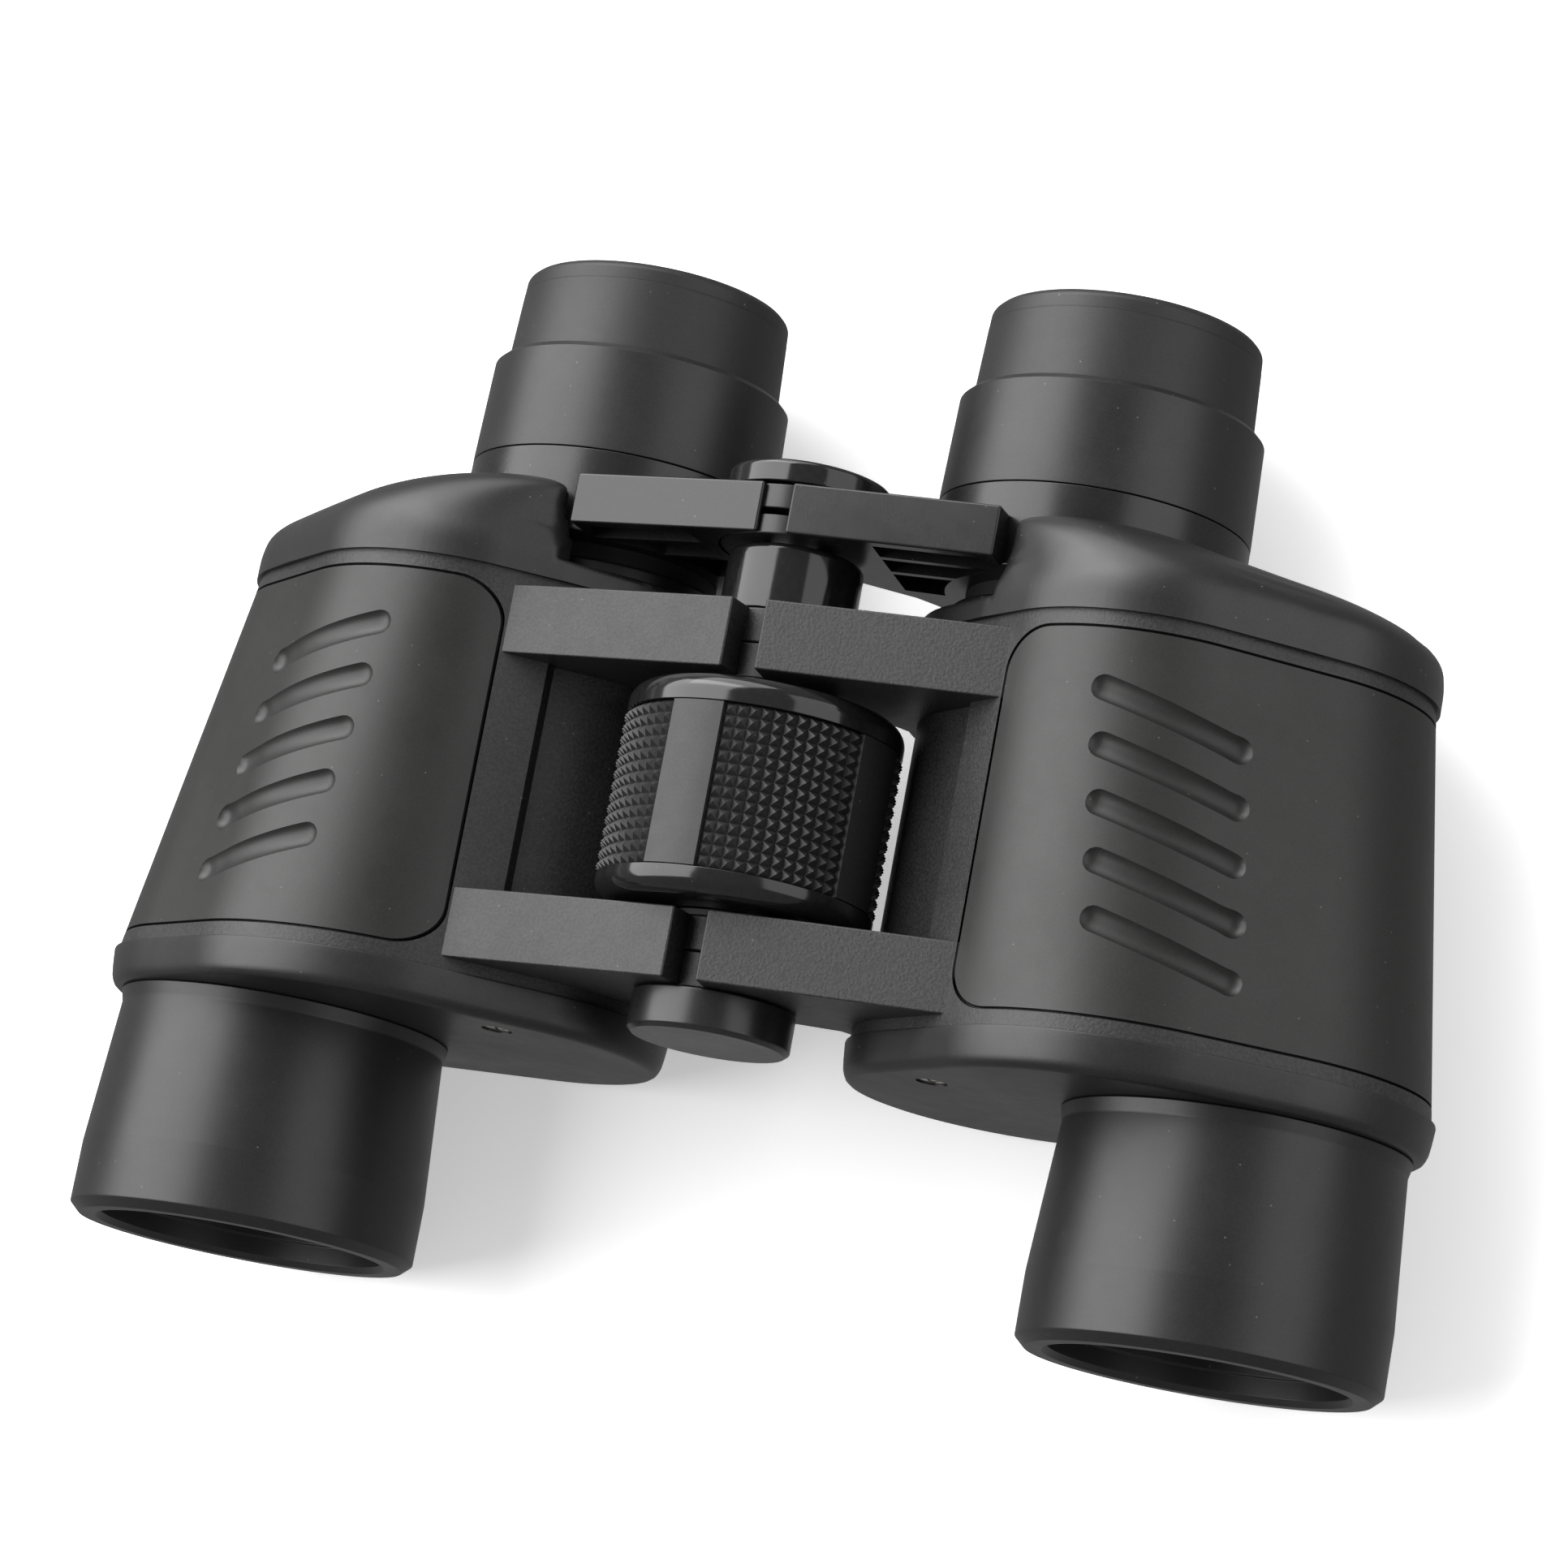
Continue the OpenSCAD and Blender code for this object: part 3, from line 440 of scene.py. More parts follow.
def cover_inside(u, z, h):
    form = rear_cover_field(u, z, h) + 2.0
    form = np.maximum(form, -strap_pocket_field(u, z, h, 1.6))
    return np.maximum(form, -(z + 1.5))


# ---- finishes ----


def linear(code):
    """A colour from its sRGB hex code, in linear light."""
    parts = [int(code[i : i + 2], 16) / 255 for i in (1, 3, 5)]
    return tuple(c / 12.92 if c <= 0.04045 else ((c + 0.055) / 1.055) ** 2.4 for c in parts) + (1.0,)


def add(tree, kind, settings=(), links=()):
    """A node with its settings, each an attribute or an input's value, and its links."""
    node = tree.nodes.new(kind)
    for key, value in dict(settings).items():
        if isinstance(key, str) and hasattr(node, key):
            setattr(node, key, value)
        else:
            node.inputs[key].default_value = value
    for key, source in dict(links).items():
        tree.links.new(source, node.inputs[key])
    return node


def finish(name):
    """An empty node material and its tree."""
    material = bpy.data.materials.new(name)
    material.use_nodes = True
    material.node_tree.nodes.clear()
    return material, material.node_tree


def moulded(name, dark, pale, rough, spread, grain_mm, depth_mm, dust=0.25, ior=1.5):
    """A moulded plastic or rubber: a fine grain off the tool, a slow drift in sheen, and a little dust.
    dark and pale are the ends of its colour, rough and spread its roughness and how far it drifts."""
    material, tree = finish(name)
    place = add(tree, "ShaderNodeTexCoord").outputs["Object"]
    fine = {"Scale": 1 / (grain_mm * MM), "Detail": 3.0}
    grain = add(tree, "ShaderNodeTexNoise", fine, {"Vector": place})
    drift = add(tree, "ShaderNodeTexNoise", {"Scale": 55.0, "Detail": 2.0}, {"Vector": place})
    handling = add(tree, "ShaderNodeTexNoise", {"Scale": 420.0, "Detail": 4.0}, {"Vector": place})
    mixed = add(
        tree, "ShaderNodeMix", {"data_type": "FLOAT", "Factor": 0.35},
        {"A": drift.outputs["Fac"], "B": handling.outputs["Fac"]},
    )
    roughness = add(
        tree, "ShaderNodeMapRange",
        {"From Min": 0.3, "From Max": 0.7, "To Min": rough - spread, "To Max": rough + spread},
        {"Value": mixed.outputs[0]},
    )
    tint = add(
        tree, "ShaderNodeMapRange", {"From Min": 0.35, "From Max": 0.65},
        {"Value": grain.outputs["Fac"]},
    )
    base = add(tree, "ShaderNodeMix", {"data_type": "RGBA"}, {"Factor": tint.outputs[0]})
    base.inputs[6].default_value, base.inputs[7].default_value = linear(dark), linear(pale)
    specks = add(tree, "ShaderNodeTexVoronoi", {"Scale": 330.0, "Randomness": 1.0}, {"Vector": place})
    near = add(
        tree, "ShaderNodeMapRange",
        {"From Min": 0.05, "From Max": 0.035, "To Min": 0.0, "To Max": dust},
        {"Value": specks.outputs["Distance"]},
    )
    dusty = add(
        tree, "ShaderNodeMix", {"data_type": "RGBA"}, {"Factor": near.outputs[0], 6: base.outputs[2]}
    )
    dusty.inputs[7].default_value = linear("#8d8a86")
    bump = add(
        tree, "ShaderNodeBump", {"Strength": 1.0, "Distance": depth_mm * MM},
        {"Height": grain.outputs["Fac"]},
    )
    shader = add(
        tree, "ShaderNodeBsdfPrincipled", {"IOR": ior},
        {"Base Color": dusty.outputs[2], "Roughness": roughness.outputs[0], "Normal": bump.outputs[0]},
    )
    add(tree, "ShaderNodeOutputMaterial", {}, {"Surface": shader.outputs[0]})
    return material


def machined(name, colour, rough, mark_mm, depth_mm):
    """A turned or rolled metal: fine marks that run round it, where the light breaks up a little."""
    material, tree = finish(name)
    place = add(tree, "ShaderNodeTexCoord").outputs["Object"]
    stretched = add(tree, "ShaderNodeMapping", {"Scale": (1.0, 9.0, 1.0)}, {"Vector": place})
    marks = add(
        tree, "ShaderNodeTexNoise", {"Scale": 0.3 / (mark_mm * MM), "Detail": 4.0},
        {"Vector": stretched.outputs[0]},
    )
    roughness = add(
        tree, "ShaderNodeMapRange",
        {"From Min": 0.3, "From Max": 0.7, "To Min": rough * 0.75, "To Max": rough * 1.3},
        {"Value": marks.outputs["Fac"]},
    )
    bump = add(
        tree, "ShaderNodeBump", {"Distance": depth_mm * MM}, {"Height": marks.outputs["Fac"]}
    )
    shader = add(
        tree, "ShaderNodeBsdfPrincipled", {"Metallic": 1.0, "Base Color": linear(colour)},
        {"Roughness": roughness.outputs[0], "Normal": bump.outputs[0]},
    )
    add(tree, "ShaderNodeOutputMaterial", {}, {"Surface": shader.outputs[0]})
    return material


def coated_glass(name, tint, painted_glint_colour, ior):
    """Optical glass: clear, with the coloured glint of its coating painted into its colour where it is
    seen at a slant, a painted reflection.
    """
    material, tree = finish(name)
    # Painted reflection: the colour turns from the glass's tint to the coating's glint colour as the
    # surface is seen more at a slant.
    facing = add(tree, "ShaderNodeLayerWeight", {"Blend": 0.35})
    colour = add(tree, "ShaderNodeMix", {"data_type": "RGBA"}, {"Factor": facing.outputs["Facing"]})
    colour.inputs[6].default_value, colour.inputs[7].default_value = linear(tint), linear(painted_glint_colour)
    shader = add(
        tree, "ShaderNodeBsdfPrincipled",
        {"Roughness": 0.02, "IOR": ior, "Transmission Weight": 1.0, "Coat Weight": 0.3,
         "Coat Roughness": 0.02},
        {"Base Color": colour.outputs[2]},
    )
    add(tree, "ShaderNodeOutputMaterial", {}, {"Surface": shader.outputs[0]})
    return material


# Paint on the magnesium casting, over a spark-eroded grain that can be felt, so it glitters slightly
sparked_paint = moulded(
    "spark_textured_painted_magnesium", "#121212", "#242424", 0.47, 0.06, 0.42, 0.05
)
# Moulded thermoplastic rubber: smooth, slightly duller than the paint
grip_rubber = moulded("moulded_thermoplastic_rubber", "#111110", "#191918", 0.46, 0.05, 0.3, 0.008, 0.2)
# Moulded ABS covers, with the finest grain of all
satin_abs = moulded("satin_moulded_abs", "#111111", "#1a1a1a", 0.4, 0.05, 0.3, 0.008)
# The same plastic from a smoother tool, on the eyepiece arms: a half gloss
half_gloss_abs = moulded("half_gloss_moulded_abs", "#111112", "#171718", 0.27, 0.05, 0.4, 0.005)
# Enamel baked on the turned barrels: even, with a soft edge to each highlight
barrel_paint = moulded("baked_enamel_on_aluminium", "#101010", "#181818", 0.39, 0.04, 0.3, 0.008)
# Silicone eyecup: soft, dull and darker than the collars
cup_rubber = moulded("moulded_silicone_rubber", "#111111", "#191919", 0.5, 0.05, 0.3, 0.01, 0.3)
# The wheel's tread: hard rubber with sharp pips, dull
tread_rubber = moulded("knurled_nitrile_rubber", "#151515", "#1f1f1f", 0.5, 0.06, 0.3, 0.01, 0.3)
# Polished ABS: near mirror, so that the lights show in it as bands
polished_abs = moulded("polished_moulded_abs", "#151516", "#1a1a1b", 0.12, 0.03, 0.8, 0.002, 0.12)
# Satin ABS cap of the tripod socket
cap_abs = moulded("satin_turned_abs", "#161616", "#1d1d1d", 0.3, 0.04, 0.4, 0.004, 0.15)
# Flat black paint inside the tubes, which swallows stray light
flat_black = moulded("flat_black_optical_paint", "#0c0c0c", "#121212", 0.8, 0.08, 0.4, 0.02, 0.0)
# Nickel plate on the screw heads: bright, with faint marks
nickel = machined("nickel_plated_steel", "#c9c6bf", 0.22, 0.25, 0.002)
# Turned steel of axles and spindle
turned_steel = machined("turned_steel", "#a3a3a1", 0.3, 0.15, 0.004)
# Steel blackened in hot oxide, so that the washers do not glint between the knuckles
black_steel = machined("black_oxide_steel", "#2b2b2c", 0.4, 0.15, 0.004)
# Rolled spring steel
spring_steel = machined("rolled_spring_steel", "#9b9a98", 0.35, 0.3, 0.003)
# Die-cast aluminium shelf between the prisms
cast_aluminium = machined("die_cast_aluminium", "#8b8c8e", 0.5, 0.5, 0.01)
# Turned brass of the tripod bush
brass = machined("turned_brass", "#b89550", 0.28, 0.15, 0.004)
# Crown glass of the objective, with a magnesium fluoride coating whose blue and violet glint is painted
# into its colour at a slant
objective_glass = coated_glass("coated_crown_glass", "#dfe9ee", "#5a4f9a", 1.52)
# The eye lens, with the same coating, its glint painted in amber at a slant
eye_glass = coated_glass("coated_barium_glass", "#e6e6de", "#8a6a3a", 1.57)
# Uncoated prism glass, with a pale grey-green painted into its colour at a slant as a painted
# reflection
prism_glass = coated_glass("polished_borosilicate_glass", "#eef3f2", "#cfdad8", 1.517)


# ---- housings, arms and grips ----

ARM = [(0.92, 14.5), (36, 14.5), (36, -12), (18, -13.4), (15.5, -9.8), (4.75, -8.23), (0.92, 0)]


def own_span(side, start, width):
    """Where a half's own knuckle lies along the axis, and where the other half's does."""
    share = (width - GAP / 2) / 2
    spans = [(start, start + share), (start + width - share, start + width)]
    return spans if side == 1 else spans[::-1]


def arms(side):
    """The two arms of a housing with their knuckles, and the room for the other half's."""
    bodies, rooms = [], []
    for start in (FRONT_ARM, MIDDLE_ARM):
        own, other = own_span(side, start, ARM_W)
        bodies.append(block(ARM, start, start + ARM_W, edge=0.3))
        bodies.append(rod((0, 0), KNUCKLE_R, *own, edge=0.25))
        rooms.append(rod((0, 0), KNUCKLE_R + GAP, other[0] - GAP / 2, other[1] + GAP / 2))
    return bodies, rooms


def grip_window(shrink, corner):
    """The opening for the grip, from its inboard edge outwards round the side."""
    inboard, start, end = GRIP_U + shrink, GRIP_START + shrink, GRIP_END - shrink
    corners = [(inboard, start, corner), (FAR, start, 0), (FAR, end, 0), (inboard, end, corner)]
    return slab(rounded(corners, 12), -HIGH, HIGH)


window_cut = cut(grip_window(0, 6), core(GRIP_T))
well = (FRONT_ARM + ARM_W, MIDDLE_ARM)
well_box = slab([(1, well[0]), (WELL_U, well[0]), (WELL_U, well[1]), (1, well[1])], -60, 60)
relief = cut(well_box, core(1.4))
hollow = core(WALL)
shell = cut(loft(FRONT_PART, REAR_PART), window_cut, relief)

GROOVE_R, GROOVE_LIFT = 2.25, 1.35
GROOVE_RUN = np.array([18.2, -5.1])


def groove(i, over):
    """One finger groove: a shallow trough that follows the surface."""
    start = np.array([GRIP_U + 15.3 + 1.02 * i, GRIP_END - 8.5 - 7.8 * i])
    points, normals = [], []
    for t in np.linspace(0, 1, 26):
        u, s = start + t * GROOVE_RUN
        point, normal = shell_point(u, s, over)
        points.append(point + normal * GROOVE_LIFT)
        normals.append(normal)
    points = np.array(points)
    for _ in range(3):
        points[1:-1, 2] = (points[:-2, 2] + 2 * points[1:-1, 2] + points[2:, 2]) / 4
    return sweep(points, np.array(normals), GROOVE_R)


panel = loft(FRONT_PART, REAR_PART, 0.02, 76, steps=60, flat=20)
panel = combine(panel, [grip_window(GRIP_LINE, 5.8)], "INTERSECT")
panel = cut(panel, core(GRIP_T - 0.05))
panel = cut(panel, *[groove(i, over) for i in range(5) for over in (True, False)])

for name, side in SIDES.items():
    place, body = half(side), f"{name}_half"
    bodies, rooms = arms(side)
    housing = join(shell, *bodies)
    housing = cut(housing, *rooms, hollow, rod((0, 0), 6.52, FRONT_ARM - 2, MIDDLE_ARM + ARM_W + 2))
    piece(f"{name}_prism_housing_casting", housing, place, body, sparked_paint,
          [f"{name}_prism_housing"])
    piece(f"{name}_grip_rubber", panel, place, body, grip_rubber, [f"{name}_grip_panel"])


# ---- covers ----

# How far the front cover's side lies in from the housing's outline, at each station
front_levels = [
    (FRONT_FACE, 1.4), (32.75, 0.75), (33.1, 0.28), (33.6, 0.0), (34.2, -0.22), (35.5, -0.4),
    (36.8, -0.52), (37.7, -PROUD), (37.93, -0.53), (FRONT_PART, -0.4),
]
front_cover = skin([ring_at(FRONT_LOBES, s, inset, steps=60, flat=20) for s, inset in front_levels])
front_cover = cut(
    front_cover,
    skin([ring_at(FRONT_LOBES, s, 4.0) for s in (35.0, 39.0)]),
    rod(OBJECTIVE, 21.42, FRONT_FACE - 1, FRONT_PART + 1),
    rod(SCREW, 2.2, FRONT_FACE - 1, FRONT_FACE + 1.3),
)

cover_mesh = net(cover_outside, (14.5, -1.6, -38.5), (92, 15.8, 24), 0.5)
cover_room = net(cover_inside, (14.5, -2.4, -38.5), (92, 15.8, 24), 0.9)
below = slab([(0, 80), (120, 80), (120, REAR_PART), (0, REAR_PART)], -60, 60)
for mesh in (cover_mesh, cover_room):
    mesh.transform(Matrix.Translation((0, REAR_PART, 0)))
guide = turned(rounded([(15, 92, 0), (17.8, 92, 0), (17.8, 100.8, 0.5), (15, 100.8, 0)]), EYE)
rear_cover = cut(cover_mesh, cover_room, below)
rear_cover = join(rear_cover, guide)
rear_cover = cut(rear_cover, rod(EYE, 16.05, 80, 110))


def cross_head(axis, radius, face, depth, turn):
    """A screw's head with rounded edges and a cross recess. The head's face looks towards -Y."""
    back = face + depth
    side = [(0, face, 0), (radius, face + 0.1, 0.35), (radius, back, 0.1), (0, back, 0)]
    head = turned(rounded(side, 4), axis, 64)
    bars = []
    for spin in (turn, turn + 90):
        a = math.radians(spin)
        along = np.array([math.cos(a), math.sin(a)])
        aside = np.array([-along[1], along[0]])
        reach = along * 1.15 * radius / 2.1
        corners = [x * reach + y * 0.24 * aside for x, y in ((-1, -1), (1, -1), (1, 1), (-1, 1))]
        bars.append(block([(axis[0] + c[0], axis[1] + c[1]) for c in corners], face - 1, face + 0.7))
    return cut(head, *bars)


for name, side in SIDES.items():
    place, body = half(side), f"{name}_half"
    piece(f"{name}_front_cover_moulding", front_cover, place, body, satin_abs,
          [f"{name}_front_cover"])
    piece(f"{name}_rear_cover_moulding", rear_cover, place, body, satin_abs,
          [f"{name}_rear_cover"], sharp=35)
    head = cross_head(SCREW, 2.1, FRONT_FACE + 0.15, 1.2, 20)
    piece(f"{name}_cover_screw_head", head, place, body, nickel,
          [f"{name}_cover_screws"])


# ---- objective barrels ----

barrel = turned(
    rounded(
        [(20.3, 0.9, 0.1), (20.9, 0, 0.25), (23.3, 0, 0.35), (24.7, 1.3, 0.4), (24.7, 10, 3.0),
         (23.3, 30.6, 1.5), (23.75, 32.55, 0.2), (21.4, 32.55, 0), (21.4, 37.4, 0.2), (19.6, 37.4, 0.2),
         (19.6, 20.6, 0), (17.8, 20.6, 0.1), (17.8, 18.6, 0.1), (19.8, 18.6, 0),
         (19.8, 7.2, 0.1), (20.0, 7.0, 0.1), (20.0, 3.6, 0.1), (20.3, 3.4, 0.1)], 4),
    OBJECTIVE, 224,
)


def lens(axis, radius, front, back, front_bulge, back_bulge):
    share = np.linspace(0, 1, 24)
    outer = [(radius * t, front - front_bulge * (1 - t * t)) for t in share]
    inner = [(radius * t, back + back_bulge * (1 - t * t)) for t in share[::-1]]
    return turned(outer + inner, axis, 128)


for name, side in SIDES.items():
    place, body = half(side), f"{name}_half"
    piece(f"{name}_objective_tube", barrel, place, body, barrel_paint,
          [f"{name}_objective_barrel"])
    piece(f"{name}_objective_front_lens", lens(OBJECTIVE, 19.7, 11.4, 13.8, 1.6, 1.6), place, body,
          objective_glass, [f"{name}_objective_crown_lens"])


# ---- eyepieces ----

BRIDGE_OUTLINE = [(0.92, 11.9), (30.3, 11.9), (30.6, 7.6), (37.6, -13.4), (21, -25), (18.2, -21),
                  (13.7, -15.2), (5.5, -9.53), (0.92, 0)]
bridge_pocket = cut(
    block([(12.9, 9.9), (28.2, 9.9), (37.6, -13.4), (12.9, -11.4)], BRIDGE - 1, BRIDGE + 4.6),
    rod(EYE, 19, BRIDGE - 2, BRIDGE + 6),
    block([(0, 3.6), (60, 3.6), (60, 4.8), (0, 4.8)], BRIDGE, BRIDGE + 6),
    block([(0, -3.4), (60, -3.4), (60, -2.2), (0, -2.2)], BRIDGE, BRIDGE + 6),
)
ring = turned(rounded([(10, BRIDGE, 0), (22, BRIDGE, 0.4), (22, RING_END, 0.12), (18.5, RING_END, 0.1),
                       (18.5, 122, 0.3), (10, 122, 0)]), EYE, 192)


def eyepiece_arm(side):
    own, other = own_span(side, BRIDGE, BRIDGE_W)
    arm = join(block(BRIDGE_OUTLINE, BRIDGE, BRIDGE + BRIDGE_W, edge=0.35), ring,
               rod((0, 0), BRIDGE_KNUCKLE_R, *own, edge=0.25))
    room = (other[0] - 1, other[1] + (1 if side == 1 else GAP / 2))
    return cut(arm, rod((0, 0), BRIDGE_KNUCKLE_R + GAP, *room), bridge_pocket,
               rod((0, 0), 5.04, BRIDGE - 2, BRIDGE + BRIDGE_W + 2), rod(EYE, 16.04, BRIDGE - 2, 130))


collar = turned(
    rounded([(18.55, COLLAR - 0.15, 0), (22, COLLAR - 0.15, 0.12), (22, COLLAR + 1, 0),
             (21.6, COLLAR_END - 0.85, 0.08), (20.75, COLLAR_END, 0.1), (20.3, COLLAR_END, 0.05),
             (20.3, COLLAR_END - 4.5, 0),
             (18.55, COLLAR_END - 4.5, 0)], 4), EYE, 192)
CUP = [
    (16.02, 128.4, 0), (20, 128.4, 0.2), (20, COLLAR_END + 0.2, 0), (19.82, COLLAR_END + 1, 0),
    (19.42, CUP_END - 3.0, 0), (19.33, CUP_END - 2.88, 0.05), (19.38, CUP_END - 2.76, 0),
    (19.3, CUP_END - 0.9, 1.0), (18.4, CUP_END, 0.7), (17.3, CUP_END - 0.3, 0.6),
    (17.2, CUP_END - 1.2, 0.5), (17.3, 135.6, 1.0), (12.1, 135.2, 0.4), (12.1, 134.05, 0),
    (16.02, 134.05, 0),
]
cup = turned(rounded(CUP, 5), EYE, 192)

for name, side in SIDES.items():
    place, carriage = half(side), f"{name}_carriage"
    ocular = carriage if name == "left" else "right_ocular"
    piece(f"{name}_eyepiece_bracket", eyepiece_arm(side), place, carriage, half_gloss_abs,
          [f"{name}_eyepiece_arm"])
    ring_node = "left_eyepiece_collar" if name == "left" else "right_dioptre_ring"
    piece(f"{ring_node}_turning", collar, place, carriage if name == "left" else "dioptre_ring",
          satin_abs, [ring_node])
    piece(f"{name}_eyecup_rubber", cup, place, ocular, cup_rubber, [f"{name}_eyecup"])
    piece(f"{name}_eye_lens_glass", lens(EYE, 14.2, 126.6, 131.4, 1.6, 1.0), place, ocular,
          eye_glass, [f"{name}_eye_lens"])


# ---- focus wheel, sleeve and caps, about the hinge axis ----

WHEEL_R, RIM_R, ROUND = 19.5, 19.3, 2.8
BAR_R, VALLEY_R = 19.3, 18.6
drum = turned(
    rounded([(6.55, WHEEL, 0), (RIM_R, WHEEL, ROUND), (RIM_R, TREAD, 0.12), (18.05, TREAD, 0),
             (18.05, TREAD_END, 0), (RIM_R, TREAD_END, 0.12), (RIM_R, WHEEL_END, ROUND),
             (6.55, WHEEL_END, 0)], 10), steps=224)
drum = join(drum, turned([(5.06, 54), (8, 54), (8, 78), (5.06, 78)]))
piece("focus_wheel_body", drum, HINGE, "focus_wheel", polished_abs, ["focus_wheel_drum"])


def tread_band():
    """A band of sharp four-sided pips in patches, with smooth bars between them."""
    patches = [(4.2, 65.3, 12), (94, 158, 12), (184, 248, 12), (275, 339.8, 12)]
    rows = 14
    around = []
    for p, (first, last, columns) in enumerate(patches):
        around += [(angle, VALLEY_R) for angle in np.linspace(first, last, columns + 1)]
        bar_end = patches[(p + 1) % len(patches)][0] + (360 if p == len(patches) - 1 else 0)
        around += [(angle, BAR_R) for angle in np.linspace(last + 0.7, bar_end - 0.7, 9)]
    stations = np.linspace(TREAD + 0.12, TREAD_END - 0.12, rows + 1)

    def at(angle, radius, station):
        a = math.radians(angle)
        return (radius * math.sin(a), station, radius * math.cos(a))

    n = len(around)
    points = [at(a, r, s) for s in stations for a, r in around]
    inner = len(points)
    points += [at(a, 18.08, s) for s in (stations[0], stations[-1]) for a, _ in around]
    faces = []
    for row in range(rows):
        for k in range(n):
            j = (k + 1) % n
            quad = [row * n + k, row * n + j, (row + 1) * n + j, (row + 1) * n + k]
            angle, turn = around[k][0], (around[j][0] - around[k][0]) % 360
            if around[k][1] == around[j][1] == VALLEY_R:
                tip = len(points)
                middle = (stations[row] + stations[row + 1]) / 2
                points.append(at(angle + turn / 2, WHEEL_R - 0.02, middle))
                faces += [(quad[i], quad[(i + 1) % 4], tip) for i in range(4)]
            else:
                faces.append(quad)
    for k in range(n):
        j = (k + 1) % n
        last = rows * n
        faces += [(k, inner + k, inner + j, j), (last + j, inner + n + j, inner + n + k, last + k),
                  (inner + k, inner + n + k, inner + n + j, inner + j)]
    return solid(points, faces)


piece("focus_wheel_tread_band", tread_band(), HINGE, "focus_wheel", tread_rubber,
      ["focus_wheel_tread"], sharp=25)

sleeve = turned(rounded([(6.52, 93.2, 0), (9.5, 93.2, 0.2), (9.5, 102.7, 1.0), (5.3, 102.7, 0.3),
                         (5.3, 100.4, 0), (6.52, 100.4, 0)], 6), steps=128)
piece("hinge_sleeve", sleeve, HINGE, "left_half", polished_abs, ["spindle_sleeve"])

CAP_START, CAP_FACE = 110.85, 114.15
CAP = [
    (1.7, CAP_START, 0), (11.4, CAP_START, 0.2), (11.4, CAP_FACE, 0.9), (3.4, CAP_FACE, 0.25),
    (3.4, CAP_FACE - 1.8, 0), (1.7, CAP_FACE - 1.8, 0),
]
cap = turned(rounded(CAP, 6), steps=160)
piece("bridge_cap_button", cap, HINGE, "left_carriage", polished_abs, ["bridge_cap"])

screw = cross_head((0, 0), 3.15, -CAP_FACE + 0.25, 1.4, 10)
screw.transform(Matrix.Diagonal((1, -1, 1, 1)))
screw.flip_normals()
piece("bridge_screw_head", screw, HINGE, "left_carriage", nickel, ["bridge_screw"])

TRIPOD = [
    (0, 33.7, 0), (10.6, 33.7, 0.3), (11.3, 34.3, 0.35), (11.3, 39.4, 0.25), (8.56, 39.4, 0),
    (8.56, 35.4, 0), (0, 35.4, 0),
]
tripod = turned(rounded(TRIPOD, 5), steps=160)
piece("tripod_socket_cap", tripod, HINGE, "tripod_cap", cap_abs, ["tripod_cap"])

# ---- CAD pieces that are right as they are, each with its finish ----

KEPT = {
    "objective_retainer": flat_black, "objective_flint_lens": prism_glass, "front_prism": prism_glass,
    "rear_prism": prism_glass, "prism_shelf": cast_aluminium, "prism_clips": spring_steel,
    "strap_bar": nickel, "ocular_tube": flat_black, "field_lens": prism_glass, "field_stop": flat_black,
}
kept = {f"{name}_{node}": material for name in SIDES for node, material in KEPT.items()}
kept |= {"front_axle": black_steel, "rear_axle": black_steel, "tripod_bush": brass,
         "thrust_washers": black_steel, "focus_spindle": turned_steel}
for node, material in kept.items():
    frame["nodes"][node].data.materials.clear()
    frame["nodes"][node].data.materials.append(material)

# ---- floor, lights and camera ----

floor_paper, floor_tree = finish("matt_white_paper")
fibres = add(floor_tree, "ShaderNodeTexNoise", {"Scale": 900.0, "Detail": 2.0})
floor_bump = add(floor_tree, "ShaderNodeBump", {"Distance": 0.00005}, {"Height": fibres.outputs["Fac"]})
floor_shader = add(
    floor_tree, "ShaderNodeBsdfPrincipled",
    {"Base Color": linear("#f7f7f7"), "Roughness": 0.9, "Emission Color": linear("#ffffff"),
     "Emission Strength": 0.4},
    {"Normal": floor_bump.outputs[0]},
)
add(floor_tree, "ShaderNodeOutputMaterial", {}, {"Surface": floor_shader.outputs[0]})
FLOOR = 4.0
floor_mesh = bpy.data.meshes.new("floor")
corners = [(x * FLOOR, y * FLOOR, 0) for x, y in ((-1, -1), (1, -1), (1, 1), (-1, 1))]
floor_mesh.from_pydata(corners, [], [(0, 1, 2, 3)])
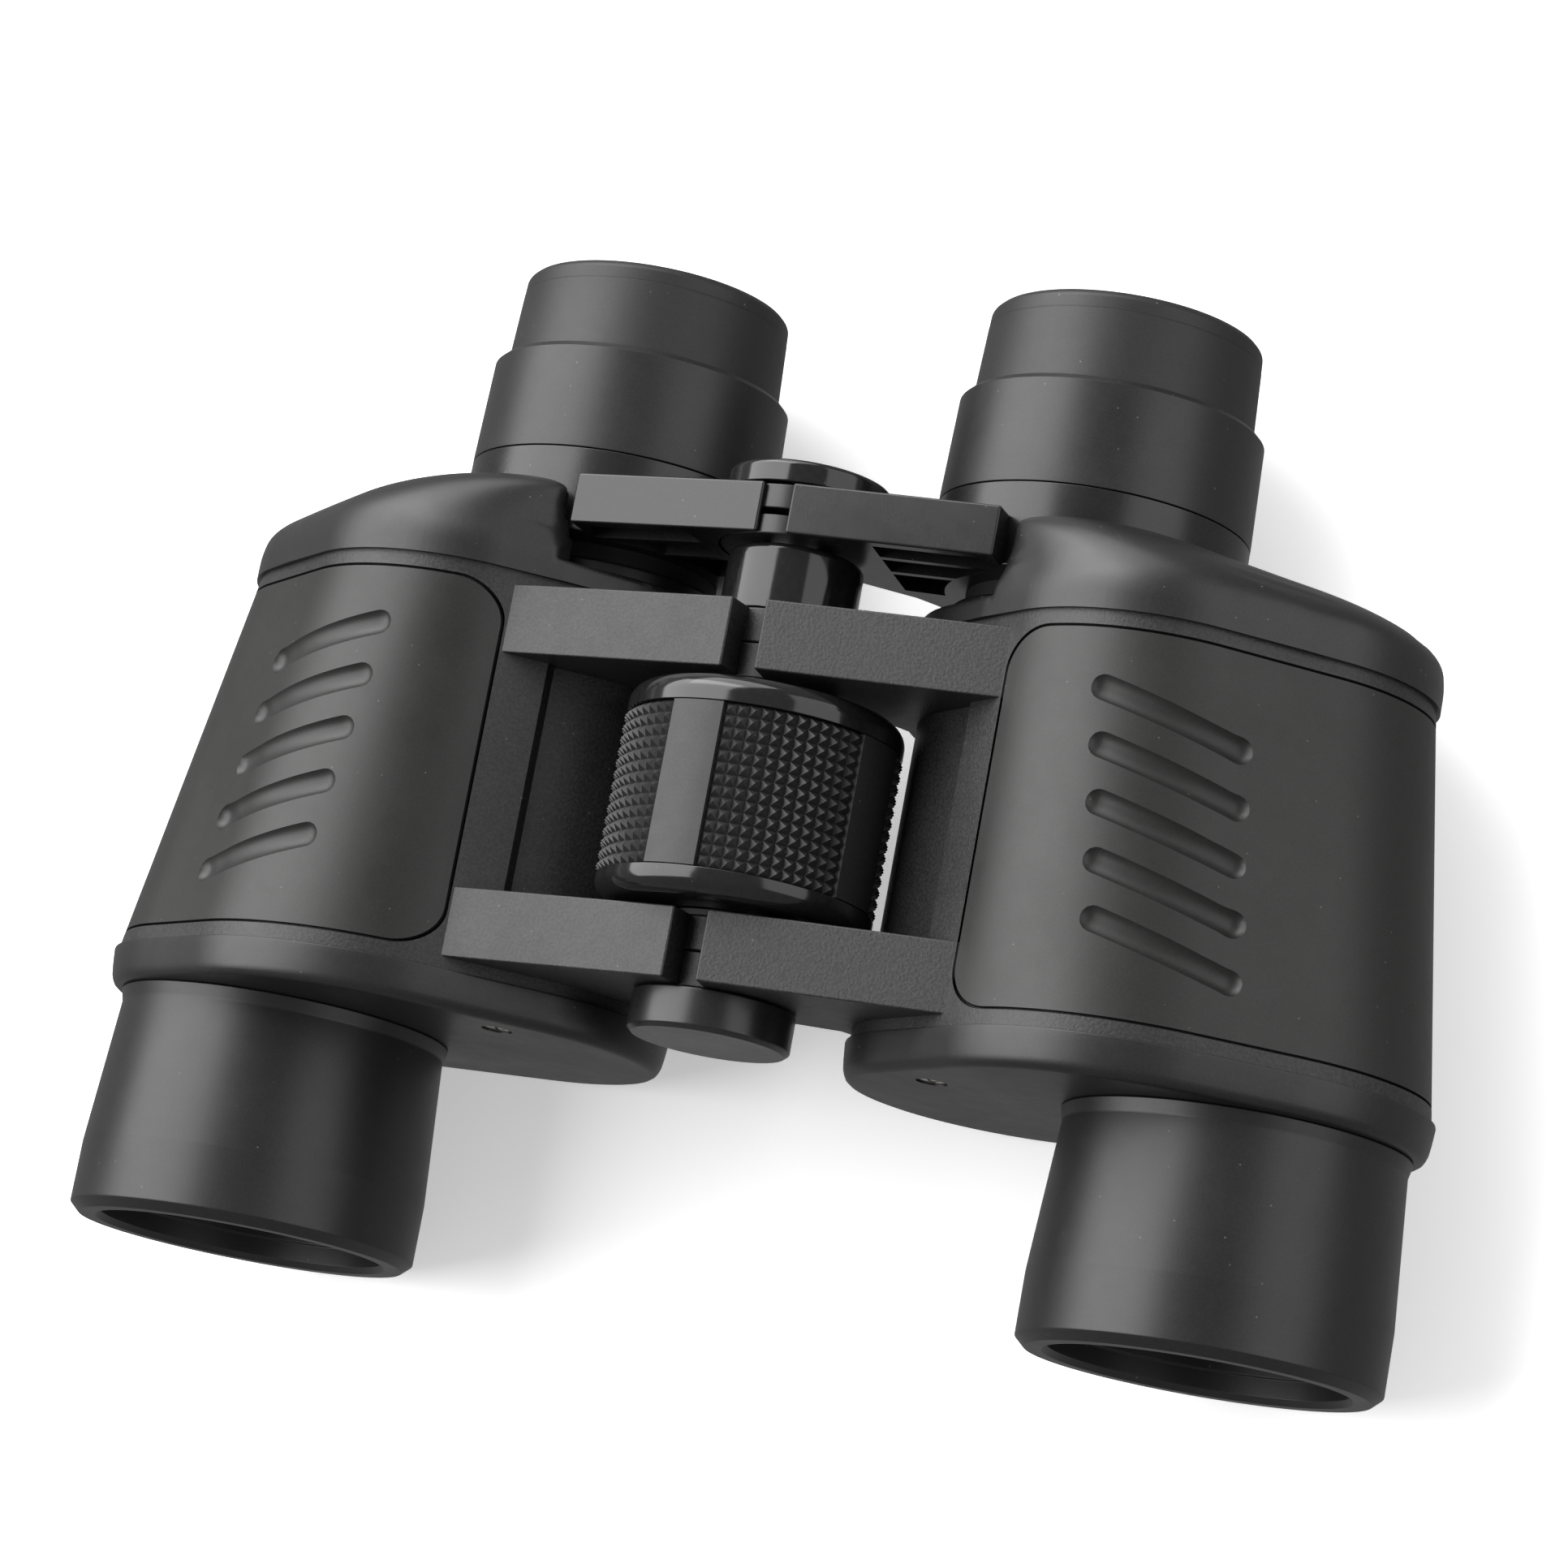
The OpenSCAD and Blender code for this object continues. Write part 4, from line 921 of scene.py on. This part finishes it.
floor_mesh.materials.append(floor_paper)
floor = bpy.data.objects.new("floor", floor_mesh)
bpy.context.scene.collection.objects.link(floor)
floor.visible_glossy = False


LIGHT_DISTANCE = 1.3


def softbox(name, lean, back, span, length, radiance):
    """A softbox leaning from upright by lean degrees towards +X and back degrees towards +Y.
    It spans an angle across and has a length in metres."""
    lean, back = math.radians(lean), math.radians(back)
    way = Vector((math.sin(lean), math.tan(back), math.cos(lean))).normalized()
    along = (Vector((0, 1, 0)) - way * way.y).normalized()
    across = way.cross(along)
    width = 2 * LIGHT_DISTANCE * math.tan(math.radians(span / 2))
    light = bpy.data.lights.new(name, "AREA")
    light.shape, light.size, light.size_y = "RECTANGLE", length, width
    light.energy = radiance * math.pi * length * width
    lamp = bpy.data.objects.new(name, light)
    turn = Matrix((along, across, way)).transposed().to_4x4()
    lamp.matrix_world = Matrix.Translation(way * LIGHT_DISTANCE) @ turn
    bpy.context.scene.collection.objects.link(lamp)


softbox("left_softbox", -44, 14, 60, 2.2, 4.5)
softbox("back_softbox", -32, 57, 44, 1.0, 3.2)
softbox("right_softbox", 62, 14, 42, 1.8, 1.4)

world = bpy.data.worlds.new("studio")
bpy.context.scene.world = world
world.use_nodes = True
world.node_tree.nodes["Background"].inputs["Color"].default_value = linear("#ffffff")
world.node_tree.nodes["Background"].inputs["Strength"].default_value = 0.3

camera = bpy.data.objects.new("camera", bpy.data.cameras.new("camera"))
camera.data.lens, camera.data.sensor_width, camera.data.clip_end = 120.26, 36.0, 50.0
VIEWPOINT = (0.268225, -0.151333, 0.691848)
RIGHT, UP = (0.92530, 0.17885, -0.33441), (-0.09220, 0.96144, 0.25909)
BACK = (0.36785, -0.20891, 0.90611)
turn = Matrix((RIGHT, UP, BACK)).transposed().to_4x4()
camera.matrix_world = Matrix.Translation(VIEWPOINT) @ turn
bpy.context.scene.collection.objects.link(camera)
bpy.context.scene.camera = camera
bpy.context.scene.view_settings.view_transform = "Standard"

bpy.context.view_layer.update()
